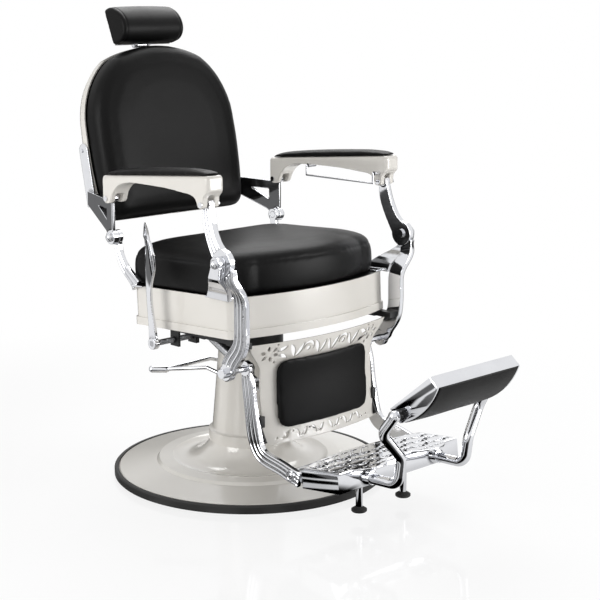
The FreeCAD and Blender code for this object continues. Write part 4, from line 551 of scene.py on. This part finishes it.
def turned_paddle(lever, foot, top, twist, hollow):
    """Turns the blade little by little towards its top, and hollows the paddle's outer side."""
    rows, facing = points_of(lever), normals_of(lever)
    share = np.clip((rows[:, 2] - foot) / (top - foot), 0, 1)
    soft = share ** 2 * (3 - 2 * share)
    steps = np.linspace(0, 1, slice_count)
    middle = np.array([rows[np.abs(share - step) < slice_half, 1].mean() for step in steps])
    pivot_y, pivot_x = np.interp(share, steps, middle), rows[:, 0].mean()
    ahead = rows[:, 1] - pivot_y
    dish = (facing[:, 0] < outer_side) * np.clip(1 - (ahead / paddle_half) ** 2, 0, 1)
    out = rows[:, 0] - pivot_x + hollow * soft * dish
    angle = math.radians(twist) * soft
    rows[:, 0] = pivot_x + out * np.cos(angle) - ahead * np.sin(angle)
    rows[:, 1] = pivot_y + out * np.sin(angle) + ahead * np.cos(angle)
    put_points(lever, rows)


lever = cast("recline_lever", "cast_recline_lever", voxel=0.0010, rounds=3)
turned_paddle(lever, foot=0.44, top=0.62, twist=-28, hollow=0.0030)
pedal = cast("pump_lever", "cast_pump_lever", voxel=0.0011, rounds=3)

# %% [markdown]
# ## The cushions
# Foam under tight leather swells between its seams and is flat only where it rests on its board. That is
# what a cloth simulation with inner pressure makes: the pad starts a little too small and the pressure
# blows its skin out. Each point ends up a little outside its start, and no further away than a cap. Most
# of its move is then shared with its neighbours, so that only a trace of the creases stays. The seat,
# back, headrest, leg pads and arm pads are all made so, with one recipe, in the same run of frames.

# %% The recipe
cushion_frames = 20
calf_pad_wider, calf_pad_lower = 1.055, 0.009
# How deep the calf pad's bow is, over the square of its half width.
calf_pad_bow = 0.0219 / 0.0335


def evened(pad, moves, rounds):
    """Shares each point's move with its neighbours, which takes out creases but keeps the swelling."""
    pairs = np.array([edge.vertices[:] for edge in pad.data.edges])
    here, there = np.concatenate([pairs, pairs[:, ::-1]]).T
    count = np.bincount(here, minlength=len(moves))
    for _ in range(rounds):
        total = np.stack([np.bincount(here, weights=moves[there, axis], minlength=len(moves))
                          for axis in range(3)], axis=1)
        moves = (moves + total / count[:, None]) / 2
    return moves


def widened(rows):
    """The calf pad, drawn out along the plate's bow, with its top edge a little lower."""
    rows[:, 1] += calf_pad_bow * rows[:, 0] ** 2 * (calf_pad_wider ** 2 - 1)
    rows[:, 0] *= calf_pad_wider
    low, high = rows[:, 2].min(), rows[:, 2].max()
    rows[:, 2] -= calf_pad_lower * (rows[:, 2] - low) / (high - low)
    return rows


def seam(pad, distance, width, depth):
    """Draws the skin inwards along a line. The distances say how far each point is from that line."""
    pull = np.exp(-(distance / width) ** 2)[:, None] * depth
    put_points(pad, points_of(pad) - normals_of(pad) * pull)


def add_pressure(pad, pressure):
    """Makes the skin a light, fairly stiff cloth that is blown up from inside and knows no gravity."""
    cloth = pad.modifiers.new("swell", "CLOTH")
    settings = cloth.settings
    settings.quality = 4
    settings.mass = 0.3
    settings.tension_stiffness = 18
    settings.compression_stiffness = 18
    settings.shear_stiffness = 8
    settings.bending_stiffness = 1.5
    settings.use_pressure = True
    settings.uniform_pressure_force = pressure
    settings.effector_weights.gravity = 0
    cloth.collision_settings.use_collision = False
    cloth.point_cache.frame_start = 1
    cloth.point_cache.frame_end = cushion_frames


print("cushion recipe ready")

# %% Cushion skins
pad_rounds = 3
rest_from, rest_slope = 0.5, 2.5
headrest_lift = 0.0015
# The squares of the skin, how much too small it starts, the furthest that a point may move, the way to
# the board that it rests on, and how full of foam it is.
pads = {
    "seat_cushion": dict(voxel=0.0055, shrink=0.0030, cap=0.0095, rest=(0, 0, -1), fill=0.9),
    "back_cushion": dict(voxel=0.0055, shrink=0.0020, cap=0.0090, rest=(0, 1, -0.2), fill=0.9),
    "headrest_cushion": dict(voxel=0.0040, shrink=0.0010, cap=0.0030, rest=(0, 1, -0.6), fill=0.9),
    "arm_pad_right": dict(voxel=0.0033, shrink=0.0008, cap=0.0030, rest=(0, 0, -1), fill=0.8),
    "arm_pad_left": dict(voxel=0.0033, shrink=0.0008, cap=0.0030, rest=(0, 0, -1), fill=0.8),
    "calf_pad": dict(voxel=0.0036, shrink=0.0008, cap=0.0045, rest=(0, 1, 0), fill=0.8),
    "flip_cushion": dict(voxel=0.0036, shrink=0.0008, cap=0.0050, rest=(0, -0.2, 1), fill=0.8),
}
cushions, starts, free, outward = {}, {}, {}, {}
for node, recipe in pads.items():
    pad = even_skin(node, "leather_" + node, recipe["voxel"], pad_rounds)
    if node == "calf_pad":
        put_points(pad, widened(points_of(pad)))
    if node == "headrest_cushion":
        put_points(pad, points_of(pad) + np.array((0, 0, headrest_lift)))
    facing = normals_of(pad)
    down = Vector(recipe["rest"]).normalized()
    rests = np.clip((facing @ np.array(down) - rest_from) * rest_slope, 0, 1)[:, None]
    cushions[node], free[node], outward[node] = pad, 1 - rests, facing
    starts[node] = points_of(pad) - facing * recipe["shrink"] * (1 - rests)
    put_points(pad, starts[node])
print("cushion skins:", len(cushions))

# %% Blow up all cushions at once
inner_pressure = 4.0

for pad in cushions.values():
    add_pressure(pad, inner_pressure)
for frame_number in range(1, cushion_frames + 1):
    bpy.context.scene.frame_set(frame_number)
for pad in cushions.values():
    bpy.context.view_layer.objects.active = pad
    bpy.ops.object.modifier_apply(modifier="swell")
bpy.context.scene.frame_set(1)
print("frames run:", cushion_frames)

# %% Ease the creases and dress the cushions
crease_share, evening_rounds = 0.10, 45
least_swell = 0.0016
seam_depth = 0.0013
seat_seam_slope, seat_seam_spread = 0.42, 0.10
end_seam_inset, end_seam_width = 0.013, 0.0022


def swelling(pad, node, recipe):
    """How far each point moves: outwards by a least measure, and in all no further than the cap."""
    moves = points_of(pad) - starts[node]
    along = (moves * outward[node]).sum(axis=1, keepdims=True)
    # The headrest tilts close above the back cushion, so it only gets back what it was shrunk by.
    least = recipe["shrink"] + (0 if node == "headrest_cushion" else least_swell)
    moves = moves + np.maximum(least - along, 0) * outward[node]
    length = np.linalg.norm(moves, axis=1, keepdims=True)
    return moves * np.minimum(1, recipe["cap"] / np.maximum(length, 1e-9)) * free[node]


for node, pad in cushions.items():
    recipe = pads[node]
    moves = swelling(pad, node, recipe)
    smooth = evened(pad, moves, evening_rounds)
    put_points(pad, starts[node] + smooth * (1 - crease_share) + moves * crease_share)
    shaped(pad, "SMOOTH", factor=0.5, iterations=2)
    shaped(pad, "SUBSURF", levels=1, render_levels=1)
    if node == "seat_cushion":
        seam(pad, normals_of(pad)[:, 2] - seat_seam_slope, seat_seam_spread, seam_depth)
    if node == "headrest_cushion":
        sideways = np.abs(points_of(pad)[:, 0])
        seam(pad, sideways - (sideways.max() - end_seam_inset), end_seam_width, seam_depth)
    pick_none()
    pad.select_set(True)
    bpy.context.view_layer.objects.active = pad
    bpy.ops.object.shade_smooth()
    dressed(pad, node)
    furthest = float(np.linalg.norm(smooth, axis=1).max()) * 1000
    print(pad.name, "swelled by", round(furthest, 1), "mm,", len(pad.data.polygons), "faces")

# %% [markdown]
# ## Pierced plates
# The plate behind the calves and the tread under the feet are cast openwork: curled leaves and hooks with
# thin ribs between them. A flat curve is the quickest way to such a plate. Its first spline is the
# outline, every further spline becomes a hole, and the curve's own bevel rounds all the edges. It is then
# made a mesh, cut into narrow strips and laid on the plate's bowed surface.

# %% Leaves, hooks and eyes
outline_steps = 14
leaf_fullness = 0.85
hook_sweep, hook_tip = 215, 0.35


def placed(points, x, z, turn):
    """Turns points about their origin and moves them to a place, and gives the mirrored set as well."""
    c, s = math.cos(math.radians(turn)), math.sin(math.radians(turn))
    right = [(x + a * c - b * s, z + a * s + b * c) for a, b in points]
    return [right, [(-a, b) for a, b in reversed(right)]]


def leaf(x, z, length, width, turn, curl=0.0):
    """A leaf with two points, bent sideways by the curl."""
    points = []
    for side in (1, -1):
        for step in range(outline_steps):
            share = step / outline_steps if side == 1 else 1 - step / outline_steps
            out = side * width / 2 * math.sin(math.pi * share) ** leaf_fullness
            bend = curl * length * (0.25 - (share - 0.5) ** 2)
            points.append(((share - 0.5) * length, out + bend))
    return placed(points, x, z, turn)


def hook(x, z, radius, width, turn):
    """A hooked slot that is widest at the middle of its bow."""
    points = []
    for side in (1, -1):
        for step in range(outline_steps + 1):
            share = (step / outline_steps - 0.5) * side
            fullness = hook_tip + (1 - hook_tip) * math.cos(math.pi * share)
            reach = radius + side * width / 2 * fullness
            angle = math.radians(hook_sweep * share)
            points.append((reach * math.cos(angle), reach * math.sin(angle)))
    return placed(points, x, z, turn)


def eye(x, z, radius):
    """A small round hole."""
    angles = [step * math.tau / outline_steps for step in range(outline_steps)]
    return placed([(radius * math.cos(angle), radius * math.sin(angle)) for angle in angles], x, z, 0)


print("motifs ready")

# %% A plate from a flat curve
smooth_angle = math.radians(35)


def pierced_plate(name, outline, holes, thick, edge, strip, lay):
    """Fills the outline around the holes, gives it a thickness and lays every point on its surface."""
    pick_none()
    curve = bpy.data.curves.new(name, "CURVE")
    curve.dimensions = "2D"
    curve.fill_mode = "BOTH"
    curve.extrude = thick / 2 - edge
    curve.bevel_depth = edge
    curve.bevel_resolution = 1
    curve.offset = -edge
    for ring in [outline] + holes:
        spline = curve.splines.new("POLY")
        spline.points.add(len(ring) - 1)
        for point, (a, b) in zip(spline.points, ring):
            point.co = (a, b, 0, 1)
        spline.use_cyclic_u = True
    plate = bpy.data.objects.new(name, curve)
    bpy.context.scene.collection.objects.link(plate)
    plate.select_set(True)
    bpy.context.view_layer.objects.active = plate
    bpy.ops.object.convert(target="MESH")
    plate = bpy.context.object
    bpy.ops.object.mode_set(mode="EDIT")
    bpy.ops.mesh.select_all(action="SELECT")
    bpy.ops.mesh.remove_doubles(threshold=merge_reach)
    reach = max(a for a, b in outline)
    for step in range(int(2 * reach / strip)):
        bpy.ops.mesh.select_all(action="SELECT")
        bpy.ops.mesh.bisect(plane_co=(-reach + (step + 0.5) * strip, 0, 0), plane_no=(1, 0, 0))
    bpy.ops.mesh.select_all(action="SELECT")
    bpy.ops.mesh.normals_make_consistent(inside=False)
    bpy.ops.object.mode_set(mode="OBJECT")
    for vertex in plate.data.vertices:
        vertex.co = lay(*vertex.co)
    bpy.ops.object.mode_set(mode="EDIT")
    bpy.ops.mesh.select_all(action="SELECT")
    bpy.ops.mesh.normals_make_consistent(inside=False)
    bpy.ops.object.mode_set(mode="OBJECT")
    bpy.ops.object.shade_smooth_by_angle(angle=smooth_angle)
    print(name, len(holes), "holes,", len(plate.data.polygons), "faces")
    return plate


print("plate maker ready")

# %% [markdown]
# ### The plate behind the calves
# It is broad at the top, narrows soon below, and its middle bows out to the front. Seen from the side it
# swings back below its top edge and forward again at its foot, which one smooth curve past six heights
# gives. Its openings form two bands, one above the pad and one below it.

# %% Calf plate
calf_top, calf_low = 0.397, 0.154
calf_wide, calf_narrow, calf_taper = 0.221, 0.183, 0.28
calf_edge_y, calf_bow, calf_thick, calf_setback = -0.246, 0.032, 0.004, 0.016
calf_rim, calf_strip = 0.0006, 0.012
calf_steps = 40
setback_heights = [0, 0.12, 0.28, 0.55, 0.80, 1.0]
setback_shares = [0, 0.45, 0.65, 0.60, 0.25, -0.10]
setback_curve = np.polyfit(setback_heights, setback_shares, 4)


def calf_half(z):
    """Half the plate's width at a height."""
    share = min(1.0, (calf_top - z) / (calf_top - calf_low) / calf_taper)
    return calf_wide + (calf_narrow - calf_wide) * (3 - 2 * share) * share ** 2


def calf_lay(x, z, depth):
    """A point of the flat pattern, laid on the bowed plate. Depth is towards the front."""
    half = calf_half(z)
    back = float(np.polyval(setback_curve, (calf_top - z) / (calf_top - calf_low)))
    bow = calf_bow * (half / calf_wide) ** 2
    y = calf_edge_y + calf_setback * back - bow * (1 - (x / half) ** 2) - calf_thick / 2 - depth
    return Vector((x, y, z))


heights = [calf_top + (calf_low - calf_top) * step / calf_steps for step in range(calf_steps + 1)]
calf_outline = [(calf_half(z), z) for z in heights] + [(-calf_half(z), z) for z in reversed(heights)]
print("calf plate's outline:", len(calf_outline), "points")

# %% [markdown]
# The upper band starts at the side with a flower of six leaves. Pairs of leaves and a hook around an eye
# follow it towards the middle. A motif's numbers are its place, its length or radius, its width, its turn
# in degrees and its curl, and every motif is there on both sides.

# %% The calf plate's openings
band, foot = 0.3700, 0.1720
flower_x, flower_wide, flower_high, flower_turn = 0.1660, 0.0175, 0.0135, 15
calf_pattern = []
for turn in range(0, 360, 60):
    around = math.radians(turn + flower_turn)
    petal_x, petal_z = flower_x + flower_wide * math.cos(around), band + flower_high * math.sin(around)
    calf_pattern += leaf(petal_x, petal_z, 0.0135, 0.0082, turn + flower_turn)
calf_pattern += leaf(0.1340, band + 0.0100, 0.030, 0.0100, 160, 0.2)
calf_pattern += leaf(0.1290, band - 0.0105, 0.030, 0.0092, 20, 0.2)
calf_pattern += leaf(0.1035, band, 0.040, 0.0120, 62, 0.22)
calf_pattern += leaf(0.0830, band, 0.040, 0.0115, 118, 0.22)
calf_pattern += hook(0.0570, band + 0.001, 0.0145, 0.0066, 95)
calf_pattern += eye(0.0570, band, 0.0056)
calf_pattern += leaf(0.0310, band, 0.040, 0.0115, 62, 0.22)
calf_pattern += leaf(0.0110, band - 0.001, 0.036, 0.0095, 112, 0.18)
calf_pattern += eye(0.1490, band - 0.0220, 0.0030)
calf_pattern += eye(0.1490, band + 0.0215, 0.0026)

foot_start, foot_pitch, foot_gap = 0.014, 0.0255, 0.0128
for column in range(5):
    x = foot_start + column * foot_pitch
    way = 1 if column % 2 else -1
    calf_pattern += leaf(x, foot, 0.023, 0.0088, 90 - way * 32, way * 0.3)
    calf_pattern += leaf(x + foot_gap, foot + way * 0.006, 0.0095, 0.0052, 0)
calf_pattern += eye(0.1480, foot - 0.004, 0.0030)
calf_plate = pierced_plate("pierced_calf_plate", calf_outline, calf_pattern, calf_thick,
                           calf_rim, calf_strip, calf_lay)
dressed(calf_plate, "calf_plate")

# %% [markdown]
# ### The tread under the feet
# It is bowed at the rear, has two round lobes at the front, and lies on a platform that rises to the
# front. Three rows of hooks, each around an eye, open it, with slanting leaves between them.

# %% Tread plate
tread_half, tread_rear, tread_front, tread_bow = 0.195, -0.3915, -0.507, 0.0295
tread_top, tread_thick, tread_slope = 0.139, 0.005, math.radians(6.5)
tread_rim, tread_strip = 0.0007, 0.030
platform_z = 0.134
lobe_out, lobe_in, lobe_deep = 0.1539, 0.0399, 0.032


def tread_lay(x, y, depth):
    """The flat tread, laid on the platform that rises to the front."""
    ahead, up = y - tread_rear, tread_top - platform_z - tread_thick / 2 + depth
    return Vector((x, tread_rear + ahead * math.cos(tread_slope) + up * math.sin(tread_slope),
                   platform_z - ahead * math.sin(tread_slope) + up * math.cos(tread_slope)))


def bowed(x0, x1, y, deep, steps=16):
    """Points of a shallow bow between two places on one line."""
    return [(x0 + (x1 - x0) * i / steps, y + deep * (1 - (2 * i / steps - 1) ** 2))
            for i in range(steps + 1)]


tread_outline = (bowed(tread_half, -tread_half, tread_rear, tread_bow)
                 + bowed(-tread_half, -lobe_out, tread_front, 0, 1)
                 + bowed(-lobe_out, -lobe_in, tread_front, -lobe_deep)
                 + bowed(lobe_in, lobe_out, tread_front, -lobe_deep)
                 + [(tread_half, tread_front)])
print("tread's outline:", len(tread_outline), "points")

# %% The tread's openings
row_start, row_pitch = 0.0215, 0.0345
column_start, column_pitch = 0.0195, 0.0365
columns = 5
side_slot = 0.1855
# The slots in the lobes, from the middle outwards: place and length.
lobe_slots = {0.062: 0.010, 0.0805: 0.013, 0.0995: 0.013, 0.118: 0.013, 0.1365: 0.010}
rear_slots, rear_slot_slope = (0.020, 0.052, 0.084, 0.116), 0.06
tread_pattern = []
for row in range(3):
    y = tread_front + row_start + row * row_pitch
    for column in range(columns):
        x = column_start + column * column_pitch
        way = 1 if (row + column) % 2 else -1
        tread_pattern += hook(x, y - way * 0.002, 0.0108, 0.0062, way * 90)
        tread_pattern += eye(x, y - way * 0.001, 0.0040)
        if column < columns - 1:
            between = x + column_pitch / 2
            tread_pattern += leaf(between, y + way * 0.0005, 0.025, 0.0066, 90 + way * 24, way * 0.35)
    tread_pattern += leaf(side_slot, y, 0.022, 0.0060, 90)
for x, length in lobe_slots.items():
    tread_pattern += leaf(x, tread_front - 0.0075, length, 0.0062, 90)
for x in rear_slots:
    tread_pattern += leaf(x, tread_rear + 0.0135 - x * rear_slot_slope, 0.020, 0.0056, 0, 0.2)
tread_plate = pierced_plate("pierced_tread_plate", tread_outline, tread_pattern, tread_thick,
                            tread_rim, tread_strip, tread_lay)
dressed(tread_plate, "tread_plate")

# %% [markdown]
# ## Dressing the solids that stay
# The other solids already have their final shape, so they stay and only get a finish. The model's record
# says which finish each solid has. The plywood boards hardly show and wear the cushions' cover.

# %% Give every solid its finish
for node, solid in frame["nodes"].items():
    slot = slot_of[node]
    solid.data.materials.clear()
    solid.data.materials.append(finishes["black_upholstery" if slot == "plywood" else slot])
print("solids dressed:", len(frame["nodes"]))
